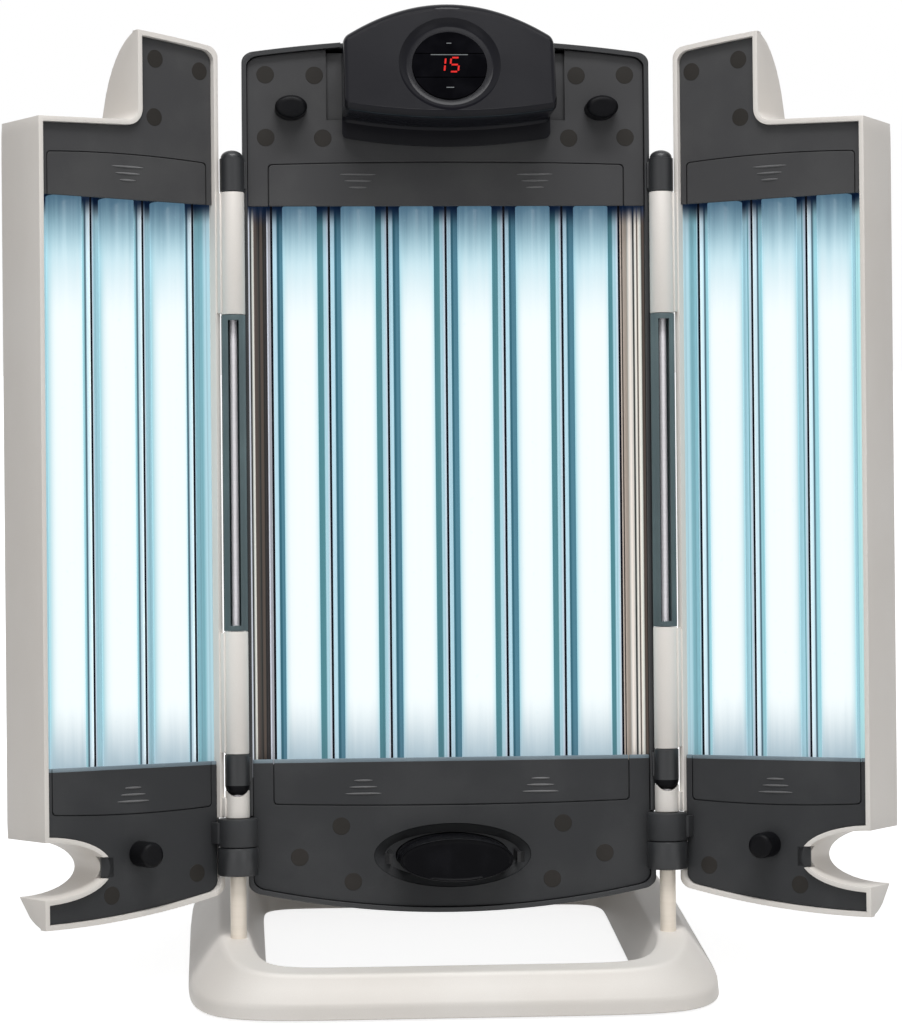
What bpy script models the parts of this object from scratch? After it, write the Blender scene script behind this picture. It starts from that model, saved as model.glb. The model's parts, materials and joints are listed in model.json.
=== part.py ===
"""Free-standing three-panel face tanner, in metres, +Z up, front facing -Y.

The panels are drawn upright in a panel frame, whose heights start at the floor. An empty then
leans that frame back, and two more empties on the hinge axes swing the wings open.
"""
import math

import bmesh
import bpy
from mathutils import Matrix, Vector

# stance
RECLINE = math.radians(7.8)
WING_OPEN = math.radians(32.5)
POST_FROM_FRONT = 0.0790
PIVOT_Z = 0.040

# hinge line, measured from the floor along the leaning axis
HINGE_X = 0.1605
BARREL_R = 0.0090
ROD_R = 0.0040
POST_R = 0.0060
BORE_CLEAR = 0.0003
STACK_GAP = 0.0003
RING_HEIGHT = 0.0210
RING_R = 0.0150
STUB_HEIGHT = 0.0160
KNUCKLE_HEIGHT = 0.0310
KNUCKLE_PROUD = 0.0002
KNUCKLE_DOME = 0.0080
CUP_GAP = 0.0012
CAP_OVER_LAMP = 0.0018
RING_RISE = 0.0305
INSERT_LENGTH = 0.2345
INSERT_SLOT = 0.0075
DOME_RISE = 0.0060

# panel section, measured back from the hinge axis
RIM_FRONT = 0.0060
FACE_SET = 0.0100
HINGE_EDGE = 0.0078
RIM = 0.0036
WALL = 0.0026
LINER = 0.0024
FIT = 0.00035
CENTRE_DEPTH = 0.0660
WING_DEPTH = 0.0585
EDGE_DEPTH = 0.0105
CROWN_TOP = 0.090
CROWN_BOTTOM = 0.075
BACK_ROUND = 0.014
FREE_ROUND = 0.004
CORNER_ROUND = 0.008

# panel outline
HEAD_ROOM = 0.1140
TOP_BOW = 0.0122
WING_OVER = 0.0030
FOOT_ROOM = 0.1021
BOTTOM_BOW = 0.0193
CLOSED_GAP = 0.0016
TOWER_WIDTH = 0.0765
NOTCH_OVER_LAMP = 0.0445
NOTCH_RISE = 0.0025
NOTCH_ROUND = 0.009

# push-button opening shared by both wings
CUT_RISE = 0.0423
CUT_A = 0.0525
CUT_B = 0.0207
JAW_DEEP = 0.0115
CATCH_HEIGHT = 0.0150
CATCH_END = 0.0496

# lamps
LAMP_PITCH = 0.044
LAMP_R = 0.0130
LAMP_LENGTH = 0.4374
LAMP_BOTTOM = 0.1626
LAMP_SET = 0.0170
LAMP_HIDDEN = 0.0109
CAP_LENGTH = 0.0100
CAP_STEP = 0.0006
PIN_R = 0.0012
PIN_LENGTH = 0.0070
PIN_SPREAD = 0.0127
WING_LAMP_S = 0.0400
HOLDER_HEIGHT = 0.0120
SHEET = 0.0010
RIDGE_SET = 0.0160
TROUGH_SET = 0.0335
TROUGH_HALF = 0.0090
SHEET_EDGE_SET = 0.0036

# lamp covers
COVER_SIDE = 0.0160
COVER_HEIGHT = 0.0328
COVER_BOW = 0.0020
GRIP_SET = 0.0665
GRIP_FIRST = 0.0140
GRIP_LENGTHS = (0.0140, 0.0210, 0.0275)
GRIP_STEP = 0.0049
GRIP_WIDTH = 0.0012
GRIP_RISE = 0.0008

# control pod
POD_HALF = 0.0780
POD_FRONT = 0.0520
POD_TILT = math.radians(18.0)
POD_OVER_NOTCH = 0.0023
POD_HEIGHT = 0.0892
POD_BOTTOM_BOW = 0.0067
POD_TOP_BOW = 0.0262
POD_ROUND = 0.005
POD_SKIRT = 0.0134
POD_SKIRT_SET = 0.0040
BAY_HALF = 0.0895
BAY_RISE = 0.0090
DISH_SHARE = 0.468
DISH_R = 0.0375
DISH_DEEP = 0.0040
LENS_R = 0.0274
LENS_THICK = 0.0056
LENS_PROUD = 0.0010
KEY_SPLIT = 0.0097
KEY_TRAVEL = 0.0010
KEY_REST = 0.0005

# open button and latch
BUTTON_A = 0.0420
BUTTON_B = 0.0162
BUTTON_FRONT = 0.0340
BUTTON_TAIL = 0.0200
EDGE_SOFT = 0.0008
BOWL_A = 0.0590
BOWL_B = 0.0240
BOWL_DEEP = 0.0050
BOWL_SLOPE = 0.0070
HOOK_INNER = 0.0462
HOOK_STEM = 0.0026
HOOK_NOSE = 0.0030
HOOK_HEIGHT = 0.0080
HOOK_TRAVEL = 0.0035

# rubber buffers
BUFFER_X = 0.1162
BUFFER_RISE = 0.0170
BUFFER_A = 0.0120
BUFFER_B = 0.0085
WING_BUFFER_S = 0.0783
WING_BUFFER_RISE = 0.0082
WING_BUFFER_R = 0.0094

# base
LEG_OUT = 0.0380
BASE_DEPTH_HALF = 0.1945
BASE_TOP = 0.0450
BASE_FRONT_TOP = 0.0310
BASE_SKIRT = 0.0120
BASE_FLOOR = 0.0020
BASE_SQUARE = 7.0
LEG_OUTER_SET = 0.0245
LEG_INNER_SET = 0.0455
LEG_FOOT_SET = 0.0590
FRONT_SET_SHARE = 0.78
SOCKET_DEEP = 0.0200
FOOT_R = 0.0080
FOOT_SET_X = 0.0390
FOOT_SET_Y = 0.0465
FRONT_RISE_RUN = 0.0500
FRONT_RISE_LEAD = 0.0550

# control gear
BALLAST_SIZE = (0.042, 0.018, 0.150)
BALLAST_X = 0.070
BALLAST_Z = 0.300
BOARD_SIZE = (0.070, 0.0016, 0.040)
POD_POCKET = (0.080, 0.044)
POD_POCKET_FRONT = 0.012
GLAND_R = 0.0070
GLAND_LENGTH = 0.0140
GLAND_RISE = 0.0250

# heights that follow from the sizes above
LAMP_TOP = LAMP_BOTTOM + LAMP_LENGTH
TOP_Z = LAMP_TOP + HEAD_ROOM
BOTTOM_Z = LAMP_BOTTOM - FOOT_ROOM
NOTCH_Z = LAMP_TOP + NOTCH_OVER_LAMP
CUT_Z = BOTTOM_Z + CUT_RISE
JAW_TOP = CUT_Z + CUT_B + JAW_DEEP
RING_BOTTOM = BOTTOM_Z + RING_RISE
POD_BOTTOM = NOTCH_Z + POD_OVER_NOTCH
POD_TOP = POD_BOTTOM + POD_HEIGHT
DISH_Z = POD_BOTTOM + DISH_SHARE * POD_HEIGHT
BAY_Z = NOTCH_Z + BAY_RISE
BUFFER_Z = NOTCH_Z + BUFFER_RISE
WING_BUFFER_Z = CUT_Z + WING_BUFFER_RISE
GLAND_Z = JAW_TOP + GLAND_RISE
BASE_HALF = HINGE_X + LEG_OUT
POST_Y = POST_FROM_FRONT - BASE_DEPTH_HALF
FOOT_X = BASE_HALF - FOOT_SET_X
FOOT_Y = BASE_DEPTH_HALF - FOOT_SET_Y
WINDOW_TOP = LAMP_TOP - LAMP_HIDDEN
WINDOW_BOTTOM = LAMP_BOTTOM + LAMP_HIDDEN
KNUCKLE_R = BARREL_R + KNUCKLE_PROUD
BORE_R = ROD_R + BORE_CLEAR
CENTRE_HALF = HINGE_X - HINGE_EDGE
WING_REACH = HINGE_X - CLOSED_GAP / 2
WING_RING_BOTTOM = RING_BOTTOM + RING_HEIGHT + STACK_GAP
STUB_BOTTOM = WING_RING_BOTTOM + RING_HEIGHT + STACK_GAP
KNUCKLE_BOTTOM = STUB_BOTTOM + STUB_HEIGHT + STACK_GAP
BARREL_BOTTOM = KNUCKLE_BOTTOM + KNUCKLE_HEIGHT + STACK_GAP
BARREL_TOP = LAMP_TOP - CAP_OVER_LAMP
TOP_KNUCKLE_BOTTOM = BARREL_TOP + STACK_GAP
INSERT_BOTTOM = (BARREL_BOTTOM + BARREL_TOP - INSERT_LENGTH) / 2
INSERT_TOP = INSERT_BOTTOM + INSERT_LENGTH
LAMP_Y = FACE_SET + LAMP_SET
LINER_BACK = FACE_SET + LINER

# faces closer to flat than this are merged before the solid is triangulated
FLAT_ANGLE = math.radians(0.4)


def principled(name, colour, roughness, metallic=0.0):
    """Return a plain Principled material."""
    made = bpy.data.materials.new(name)
    made.use_nodes = True
    shader = made.node_tree.nodes["Principled BSDF"]
    shader.inputs["Base Color"].default_value = (*colour, 1.0)
    shader.inputs["Roughness"].default_value = roughness
    shader.inputs["Metallic"].default_value = metallic
    return made


def make_materials():
    """Return the object's materials by name."""
    return {
        "pearl": principled("pearl", (0.62, 0.58, 0.54), 0.32, 0.25),
        "dark": principled("dark plastic", (0.045, 0.045, 0.047), 0.50),
        "slate": principled("slate plastic", (0.075, 0.095, 0.105), 0.45),
        "pod": principled("pod plastic", (0.020, 0.020, 0.024), 0.42),
        "gloss": principled("gloss black", (0.006, 0.006, 0.007), 0.08),
        "rubber": principled("rubber", (0.020, 0.020, 0.020), 0.80),
        "lamp": principled("lamp glass", (0.72, 0.86, 0.95), 0.25),
        "mirror": principled("reflector sheet", (0.70, 0.80, 0.88), 0.18, 1.0),
        "steel": principled("steel", (0.60, 0.58, 0.55), 0.30, 1.0),
        "holder": principled("lampholder", (0.78, 0.78, 0.76), 0.45),
        "board": principled("board", (0.03, 0.16, 0.07), 0.55),
    }


def loft(rows):
    """Return a closed solid through rows of equal length, capped at both ends."""
    solid = bmesh.new()
    rings = [[solid.verts.new(point) for point in row] for row in rows]
    count = len(rows[0])
    for low, high in zip(rings, rings[1:]):
        for i in range(count):
            j = (i + 1) % count
            solid.faces.new((low[i], low[j], high[j], high[i]))
    solid.faces.new(rings[0])
    solid.faces.new(rings[-1])
    bmesh.ops.recalc_face_normals(solid, faces=solid.faces[:])
    return solid


def ring_loft(rows):
    """Return a closed loop of equal sections, such as a frame or a sleeve."""
    solid = bmesh.new()
    rings = [[solid.verts.new(point) for point in row] for row in rows]
    count = len(rows[0])
    for i, here in enumerate(rings):
        there = rings[(i + 1) % len(rings)]
        for j in range(count):
            k = (j + 1) % count
            solid.faces.new((here[j], here[k], there[k], there[j]))
    bmesh.ops.recalc_face_normals(solid, faces=solid.faces[:])
    return solid


def plate(outline, front, back):
    """Return a flat plate with an (x, z) outline between two depths."""
    return loft([[(x, y, z) for x, z in outline] for y in (front, back)])


def box(x0, x1, y0, y1, z0, z1):
    """Return a box between the given limits."""
    return plate([(x0, z0), (x1, z0), (x1, z1), (x0, z1)], y0, y1)


def turned(profile, segments=16, place=Matrix.Identity(4)):
    """Return a solid turned about local Z from (radius, height) pairs, low end first."""
    rows = []
    for radius, height in profile:
        angles = [math.tau * i / segments for i in range(segments)]
        rows.append([place @ Vector((radius * math.cos(a), radius * math.sin(a), height)) for a in angles])
    return loft(rows)


def ellipse(a, b, centre_x, centre_z, count=28):
    """Return an (x, z) ellipse outline."""
    angles = [math.tau * i / count for i in range(count)]
    return [(centre_x + a * math.cos(t), centre_z + b * math.sin(t)) for t in angles]


def arc(centre, radius, start, end, steps):
    """Return (x, z) points on an arc, angles in degrees."""
    angles = [math.radians(start + (end - start) * i / steps) for i in range(steps + 1)]
    return [(centre[0] + radius * math.cos(t), centre[1] + radius * math.sin(t)) for t in angles]


def temporary(solid):
    """Put a solid in the scene as a helper object for a Boolean."""
    mesh = bpy.data.meshes.new("helper")
    bmesh.ops.triangulate(solid, faces=solid.faces[:])
    solid.to_mesh(mesh)
    solid.free()
    made = bpy.data.objects.new("helper", mesh)
    bpy.context.scene.collection.objects.link(made)
    return made


def combined(solid, join=(), cut=()):
    """Return the solid with others joined to it and then cut from it."""
    target = temporary(solid)
    helpers = []
    for operation, group in (("UNION", join), ("DIFFERENCE", cut)):
        for other in group:
            helper = temporary(other)
            helpers.append(helper)
            step = target.modifiers.new(operation, "BOOLEAN")
            step.operation = operation
            step.solver = "EXACT"
            step.object = helper
    graph = bpy.context.evaluated_depsgraph_get()
    mesh = bpy.data.meshes.new_from_object(target.evaluated_get(graph))
    result = bmesh.new()
    result.from_mesh(mesh)
    bpy.data.meshes.remove(mesh)
    for helper in [target] + helpers:
        spent = helper.data
        bpy.data.objects.remove(helper)
        bpy.data.meshes.remove(spent)
    bmesh.ops.remove_doubles(result, verts=result.verts[:], dist=2e-6)
    bmesh.ops.dissolve_degenerate(result, edges=result.edges[:], dist=1e-6)
    return result


def node(name, solid, finish, parent=None, origin=(0.0, 0.0, 0.0)):
    """Make the named object of a solid, with its origin at a point of the parent's frame."""
    bmesh.ops.translate(solid, verts=solid.verts[:], vec=-Vector(origin))
    bmesh.ops.dissolve_limit(solid, angle_limit=FLAT_ANGLE, verts=solid.verts[:], edges=solid.edges[:])
    bmesh.ops.triangulate(solid, faces=solid.faces[:])
    bmesh.ops.recalc_face_normals(solid, faces=solid.faces[:])
    mesh = bpy.data.meshes.new(name)
    solid.to_mesh(mesh)
    solid.free()
    mesh.materials.append(finish)
    made = bpy.data.objects.new(name, mesh)
    made.location = origin
    made.parent = parent
    bpy.context.scene.collection.objects.link(made)
    return made


def empty(name, location, turn, parent=None):
    """Make an empty that carries a frame of its own."""
    made = bpy.data.objects.new(name, None)
    made.location = location
    made.rotation_euler = turn
    made.parent = parent
    bpy.context.scene.collection.objects.link(made)
    return made


def panel_top(x):
    """Return the height of the panels' bowed top edge, x from the middle."""
    return TOP_Z - TOP_BOW * (x / HINGE_X) ** 2


def panel_bottom(x):
    """Return the height of the panels' bowed bottom edge, x from the middle."""
    return BOTTOM_Z + BOTTOM_BOW * (x / HINGE_X) ** 2


def crown(x, z, full, over=0.0):
    """Return how far the shell reaches behind its rim at a point of the panel.

    over is how much higher this panel's top edge lies than the centre panel's.
    """
    def roll(height, reach):
        rest = max(0.0, 1.0 - max(height, 0.0) / reach)
        return math.sqrt(max(0.0, 1.0 - rest * rest))

    share = min(roll(panel_top(x) + over - z, CROWN_TOP), roll(z - panel_bottom(x), CROWN_BOTTOM))
    return max(EDGE_DEPTH, full * share)


def corner_inset(height):
    """Return the inset of a rounded corner at a height above or below the edge."""
    rest = max(0.0, CORNER_ROUND - height)
    return CORNER_ROUND - math.sqrt(CORNER_ROUND ** 2 - rest * rest)


CORNER_STEPS = (0.0, 0.3 * CORNER_ROUND, CORNER_ROUND)
STRAIGHT_ROWS = (JAW_TOP, LAMP_BOTTOM - HOLDER_HEIGHT - 2 * FIT, LAMP_BOTTOM,
                 LAMP_TOP - CROWN_TOP * 0.4, LAMP_TOP, LAMP_TOP + HOLDER_HEIGHT + 2 * FIT)
CENTRE_SPANS = 6
WING_SPANS = 4
RING_SEGMENTS = 24


def shell_row(start, end, height, front, back, keep, spans, end_round=BACK_ROUND):
    """Return one closed row of a shell: front edge out, rounded back edge home.

    height(s) and back(s) give the row's height and depth at a place between start and end.
    The rounding of the back edge stays behind the depth keep; end_round is its radius at the end.
    """
    row = []
    for i in range(spans + 1):
        s = start + (end - start) * i / spans
        row.append((s, front, height(s)))
    most = min(0.9 * (min(back(end), back(start)) - keep), 0.4 * (end - start))
    near, far = min(BACK_ROUND, most), min(end_round, most)
    for angle in (0, 45, 90):
        t = math.radians(angle)
        s = end - far * (1 - math.cos(t))
        row.append((s, back(s) - far * (1 - math.sin(t)), height(s)))
    for i in range(1, spans):
        s = end - far + (start - end + near + far) * i / spans
        row.append((s, back(s), height(s)))
    for angle in (90, 45, 0):
        t = math.radians(angle)
        s = start + near * (1 - math.cos(t))
        row.append((s, back(s) - near * (1 - math.sin(t)), height(s)))
    return row


def wing_edges(inset):
    """Return the wing's rows as (start, end, height function), lower jaw to tower top.

    s runs from the hinge axis to the free edge. inset draws the outline in from the shell's edge.
    """
    def low_edge(s):
        return panel_bottom(HINGE_X - s) + inset

    def high_edge(s):
        return panel_top(HINGE_X - s) + WING_OVER - inset

    start = HINGE_EDGE + inset
    outer = WING_REACH - inset
    knee = NOTCH_Z - 0.1 * CROWN_TOP
    rows = []

    def low_row(end, z, corner=0.0):
        share = (z - low_edge(end)) / (JAW_TOP - low_edge(end))
        rows.append((start + corner, end, lambda s: low_edge(s) + share * (JAW_TOP - low_edge(s))))

    def high_row(end, z, corner=0.0):
        share = (z - knee) / (high_edge(end) - knee)
        rows.append((start + corner, end, lambda s: knee + share * (high_edge(s) - knee)))

    for step in CORNER_STEPS:
        low_row(outer, low_edge(outer) + step, corner_inset(step))
    for angle in (-90, -65, -40, -15, 15, 40, 65, 90):
        t = math.radians(angle)
        end = min(outer, HINGE_X - (CUT_A + inset) * math.cos(t))
        low_row(end, CUT_Z + (CUT_B + inset) * math.sin(t))
    for z in STRAIGHT_ROWS + (knee,):
        rows.append((start, outer, lambda s, z=z: z))
    centre_s = TOWER_WIDTH + NOTCH_ROUND
    centre_z = NOTCH_Z + NOTCH_RISE + NOTCH_ROUND
    high_row(outer, NOTCH_Z - inset)
    high_row((outer + centre_s) / 2, NOTCH_Z + NOTCH_RISE * 0.4 - inset)
    for s, z in arc((centre_s, centre_z), NOTCH_ROUND + inset, 270, 180, 3):
        high_row(s, z)
    tower = TOWER_WIDTH - inset
    for step in (0.3 * CROWN_TOP, 0.16 * CROWN_TOP) + CORNER_STEPS[::-1]:
        high_row(tower, high_edge(tower) - step, corner_inset(step))
    return rows


def wing_body(side, inset, front, keep, thinner):
    """Return the wing's crowned block, for the shell's outside or its hollow."""
    rows = []
    for start, end, height in wing_edges(inset):
        def back(s, height=height):
            return RIM_FRONT + crown(HINGE_X - s, height(s), WING_DEPTH, WING_OVER) - thinner

        row = shell_row(start, end, height, front, back, keep, WING_SPANS, FREE_ROUND)
        rows.append([(side * x, y, z) for x, y, z in row])
    return loft(rows)


def centre_edges(inset):
    """Return the centre panel's rows as (start, end, height function), bottom to top."""
    half = CENTRE_HALF - inset
    upper = NOTCH_Z
    rows = []

    def low_row(step, corner):
        base = panel_bottom(0.0) + inset
        share = step / (JAW_TOP - base)

        def height(x):
            edge = panel_bottom(x) + inset
            return edge + share * (JAW_TOP - edge)
        rows.append((-half + corner, half - corner, height))

    def high_row(step, corner):
        share = 1.0 - step / (panel_top(0.0) - inset - upper)

        def height(x):
            return upper + share * (panel_top(x) - inset - upper)
        rows.append((-half + corner, half - corner, height))

    for step in CORNER_STEPS + (0.25 * CROWN_BOTTOM, 0.52 * CROWN_BOTTOM):
        low_row(step, corner_inset(step))
    for z in STRAIGHT_ROWS + (upper,):
        rows.append((-half, half, lambda x, z=z: z))
    for step in (0.3 * CROWN_TOP, 0.16 * CROWN_TOP) + CORNER_STEPS[::-1]:
        high_row(step, corner_inset(step))
    return rows


def centre_body(inset, front, keep, thinner):
    """Return the centre panel's crowned block, for the shell's outside or its hollow."""
    rows = []
    for start, end, height in centre_edges(inset):
        def back(x, height=height):
            return RIM_FRONT + crown(x, height(x), CENTRE_DEPTH) - thinner

        rows.append(shell_row(start, end, height, front, back, keep, CENTRE_SPANS))
    return loft(rows)


def floor_depth(x_low, x_high, z_low, z_high, full):
    """Return the shallowest inner floor of a shell over an area of the panel."""
    across = [x_low + (x_high - x_low) * i / 8 for i in range(9)]
    depths = [crown(x, z, full) for x in across for z in (z_low, (z_low + z_high) / 2, z_high)]
    return RIM_FRONT + min(depths) - WALL


def straight(radius, low, high):
    """Return the (radius, height) section of a plain sleeve."""
    return [(BORE_R, low), (radius, low), (radius, high), (BORE_R, high)]


def round_end(low, outer):
    """Return the (radius, height) run of a knuckle's round lower end, out to a radius."""
    run = []
    for share in (BORE_R / KNUCKLE_R, 0.75, 0.93, outer / KNUCKLE_R):
        run.append((share * KNUCKLE_R, low + KNUCKLE_DOME * (1 - math.sqrt(1 - share * share))))
    return run


def sleeve(x, section, segments=16):
    """Return a sleeve that turns on a hinge rod, from its (radius, height) section."""
    rows = []
    for i in range(segments):
        t = math.tau * i / segments
        rows.append([(x + r * math.cos(t), r * math.sin(t), z) for r, z in section])
    return ring_loft(rows)


def ring_room(x, low, high):
    """Return the room that a hinge ring turns in, to be cut from a panel's edge."""
    wide = (RING_R + 2 * BORE_CLEAR) / math.cos(math.pi / RING_SEGMENTS)
    place = Matrix.Translation((x, 0.0, 0.0))
    return turned([(wide, low), (wide, high)], RING_SEGMENTS, place)


def domed_cap(x, radius, z0, z1, dome, bore_top):
    """Return a round-topped cap with a blind bore for the rod's end."""
    place = Matrix.Translation((x, 0.0, 0.0))
    profile = [(radius, z0), (radius, z1), (radius * 0.75, z1 + dome * 0.7), (radius * 0.25, z1 + dome)]
    bore = turned([(BORE_R, z0 - WALL), (BORE_R, bore_top)], 16, place)
    return combined(turned(profile, 16, place), cut=[bore])


def make_centre_shell(frame, finish):
    """Make the dark centre tray with its hinge knuckles and rings."""
    hollow = centre_body(RIM, -FACE_SET, LINER_BACK + FIT, WALL)
    join = []
    cap_top = TOP_KNUCKLE_BOTTOM + KNUCKLE_HEIGHT - DOME_RISE
    knuckle_top = KNUCKLE_BOTTOM + KNUCKLE_HEIGHT
    ring_top = RING_BOTTOM + RING_HEIGHT
    rooms = []
    for side in (-1, 1):
        x = side * HINGE_X
        join.append(sleeve(x, straight(RING_R, RING_BOTTOM, ring_top), RING_SEGMENTS))
        knuckle = round_end(KNUCKLE_BOTTOM, KNUCKLE_R) + [(KNUCKLE_R, knuckle_top), (BORE_R, knuckle_top)]
        join.append(sleeve(x, knuckle))
        join.append(domed_cap(x, KNUCKLE_R, TOP_KNUCKLE_BOTTOM, cap_top, DOME_RISE, cap_top - DOME_RISE))
        web = sorted((side * (CENTRE_HALF - 0.7 * RIM), side * (HINGE_X - 0.7 * KNUCKLE_R)))
        for low, high in ((KNUCKLE_BOTTOM + KNUCKLE_DOME, knuckle_top), (TOP_KNUCKLE_BOTTOM, cap_top)):
            join.append(box(web[0], web[1], 0.2 * RIM_FRONT, RIM_FRONT + WALL, low + WALL, high - WALL))
        rooms.append(ring_room(x, ring_top - WALL / 2, WING_RING_BOTTOM + RING_HEIGHT + WALL / 2))
    pod_gap = POD_HALF + 2 * FIT
    bay = box(-pod_gap, pod_gap, -FACE_SET, FACE_SET + 2 * FIT, NOTCH_Z, TOP_Z + FACE_SET)
    shell = combined(centre_body(0.0, RIM_FRONT, RIM_FRONT + RIM, 0.0), cut=[hollow, bay] + rooms)
    return node("centre_shell", combined(shell, join), finish, frame)


def cover_outline(start, end, window, way, grow):
    """Return a lamp cover's (x, z) outline; way is +1 above the lamps and -1 below."""
    middle = (start + end) / 2
    far = window + way * (COVER_HEIGHT + grow)
    near = window - way * (1.0 if grow > 0.0 else 0.0) * FACE_SET
    points = [(start - grow, near), (end + grow, near)]
    for i in range(9):
        x = end + grow + (start - end - 2 * grow) * i / 8
        share = 1.0 - ((x - middle) / ((end - start) / 2 + grow)) ** 2
        points.append((x, far + way * COVER_BOW * (share - 1.0)))
    return points


def lamp_cover(name, span, window, way, grips, finish, frame, side=1):
    """Make one sliding lamp cover with its arrow-like row of grip ribs."""
    outline = [(side * x, z) for x, z in cover_outline(span[0], span[1], window, way, 0.0)]
    ribs = []
    for place in grips:
        for i, length in enumerate(GRIP_LENGTHS):
            z = window + way * (GRIP_FIRST + GRIP_STEP * i)
            x0, x1 = sorted((side * (place - length / 2), side * (place + length / 2)))
            half = GRIP_WIDTH / 2
            ribs.append(box(x0, x1, FACE_SET - GRIP_RISE, FACE_SET + LINER / 2, z - half, z + half))
    solid = combined(plate(outline, FACE_SET, LINER_BACK), ribs)
    origin = (side * (span[0] + span[1]) / 2, FACE_SET, window + way * COVER_HEIGHT / 2)
    return node(name, solid, finish, frame, origin)


def edge_run(rows, end_index):
    """Return one side of a list of rows as (s, z) points."""
    return [(row[end_index], row[2](row[end_index])) for row in rows]


def clipped(run, low, high):
    """Return the points of a side that lie between two heights."""
    return [point for point in run if low < point[1] < high]


def liner_outline(rows, low, high, spans):
    """Return the (s, z) outline of a liner that covers the rows between two heights."""
    hinge = clipped(edge_run(rows, 0), low, high)
    free = clipped(edge_run(rows, 1), low, high)
    bottom_row = rows[0]
    top_row = rows[-1]
    outline = []
    if low <= bottom_row[2](bottom_row[1]):
        inner = [bottom_row[0] + (bottom_row[1] - bottom_row[0]) * i / spans for i in range(1, spans)]
        outline += [(s, bottom_row[2](s)) for s in inner]
    else:
        outline += [(rows[len(rows) // 2][0], low), (rows[len(rows) // 2][1], low)]
    outline += free
    if high >= top_row[2](top_row[0]):
        inner = [top_row[1] + (top_row[0] - top_row[1]) * i / spans for i in range(1, spans)]
        outline += [(s, top_row[2](s)) for s in inner]
    else:
        outline += [(rows[len(rows) // 2][1], high), (rows[len(rows) // 2][0], high)]
    outline += hinge[::-1]
    return outline


def make_centre_liners(frame, finish):
    """Make the dark plates above and below the centre lamps."""
    rows = centre_edges(RIM + FIT)
    span = (-CENTRE_HALF + RIM + COVER_SIDE, CENTRE_HALF - RIM - COVER_SIDE)
    top = plate(liner_outline(rows, WINDOW_TOP, 2 * TOP_Z, CENTRE_SPANS), FACE_SET, LINER_BACK)
    gap = box(-BAY_HALF, BAY_HALF, 0.0, 2 * FACE_SET, BAY_Z, TOP_Z + FACE_SET)
    cover = plate(cover_outline(span[0], span[1], WINDOW_TOP, 1, FIT), 0.0, 2 * FACE_SET)
    node("centre_top_liner", combined(top, cut=[gap, cover]), finish, frame)

    low = plate(liner_outline(rows, 0.0, WINDOW_BOTTOM, CENTRE_SPANS), FACE_SET, LINER_BACK)
    cover = plate(cover_outline(span[0], span[1], WINDOW_BOTTOM, -1, FIT), 0.0, 2 * FACE_SET)
    bowl_back = FACE_SET + BOWL_DEEP + LINER
    boss = plate(ellipse(BOWL_A, BOWL_B, 0.0, CUT_Z), FACE_SET + LINER / 2, bowl_back)
    bowl = loft([[(x, y, z) for x, z in ellipse(BOWL_A - d, BOWL_B - d, 0.0, CUT_Z)] for y, d in (
        (FACE_SET - WALL, 0.0), (FACE_SET, 0.0), (FACE_SET + BOWL_DEEP, BOWL_SLOPE))])
    hole = plate(ellipse(BUTTON_A + 2 * FIT, BUTTON_B + 2 * FIT, 0.0, CUT_Z), 0.0, 2 * bowl_back)
    cut = [cover, bowl, hole]
    for side in (-1, 1):
        reach = sorted((side * (HOOK_INNER - HOOK_TRAVEL - FIT), side * (HOOK_INNER + HOOK_STEM + FIT)))
        tall = HOOK_HEIGHT / 2 + FIT
        cut.append(box(reach[0], reach[1], 0.0, 2 * bowl_back, CUT_Z - tall, CUT_Z + tall))
    node("centre_bottom_liner", combined(low, [boss], cut), finish, frame)
    return span


def corrugated(x0, x1, lamps, side=1):
    """Return a folded reflector sheet with one trough behind each lamp."""
    trough = FACE_SET + TROUGH_SET
    ridge = FACE_SET + RIDGE_SET
    front = [(x0, FACE_SET + SHEET_EDGE_SET)]
    for i, lamp in enumerate(lamps):
        front += [(lamp - TROUGH_HALF, trough), (lamp + TROUGH_HALF, trough)]
        if i + 1 < len(lamps):
            front.append(((lamp + lamps[i + 1]) / 2, ridge))
    front.append((x1, FACE_SET + SHEET_EDGE_SET))
    section = front + [(x, y + SHEET * 1.6) for x, y in front[::-1]]
    low = LAMP_BOTTOM
    return loft([[(side * x, y, z) for x, y in section] for z in (low, LAMP_TOP)])


def lamp_solid():
    """Return one bi-pin fluorescent tube about the origin's upright axis."""
    neck = LAMP_R - CAP_STEP
    glass = CAP_LENGTH + CAP_STEP
    profile = [
        (neck, 0.0), (neck, CAP_LENGTH), (LAMP_R, glass),
        (LAMP_R, LAMP_LENGTH - glass), (neck, LAMP_LENGTH - CAP_LENGTH), (neck, LAMP_LENGTH),
    ]
    pins = []
    for low in (-PIN_LENGTH, LAMP_LENGTH - PIN_LENGTH / 2):
        for x in (-PIN_SPREAD / 2, PIN_SPREAD / 2):
            high = low + 1.5 * PIN_LENGTH
            pins.append(turned([(PIN_R, low), (PIN_R, high)], 5, Matrix.Translation((x, 0.0, 0.0))))
    return combined(turned(profile, 10), pins)


def make_lamps(prefix, lamps, frame, finish, pattern, side=1):
    """Place a copy of the tube at each lamp's place."""
    for i, place in enumerate(lamps):
        made = bpy.data.objects.new(f"{prefix}_lamp_{i + 1}", pattern.copy())
        made.data.materials.append(finish)
        made.location = (side * place, LAMP_Y, LAMP_BOTTOM)
        made.parent = frame
        bpy.context.scene.collection.objects.link(made)


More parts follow.
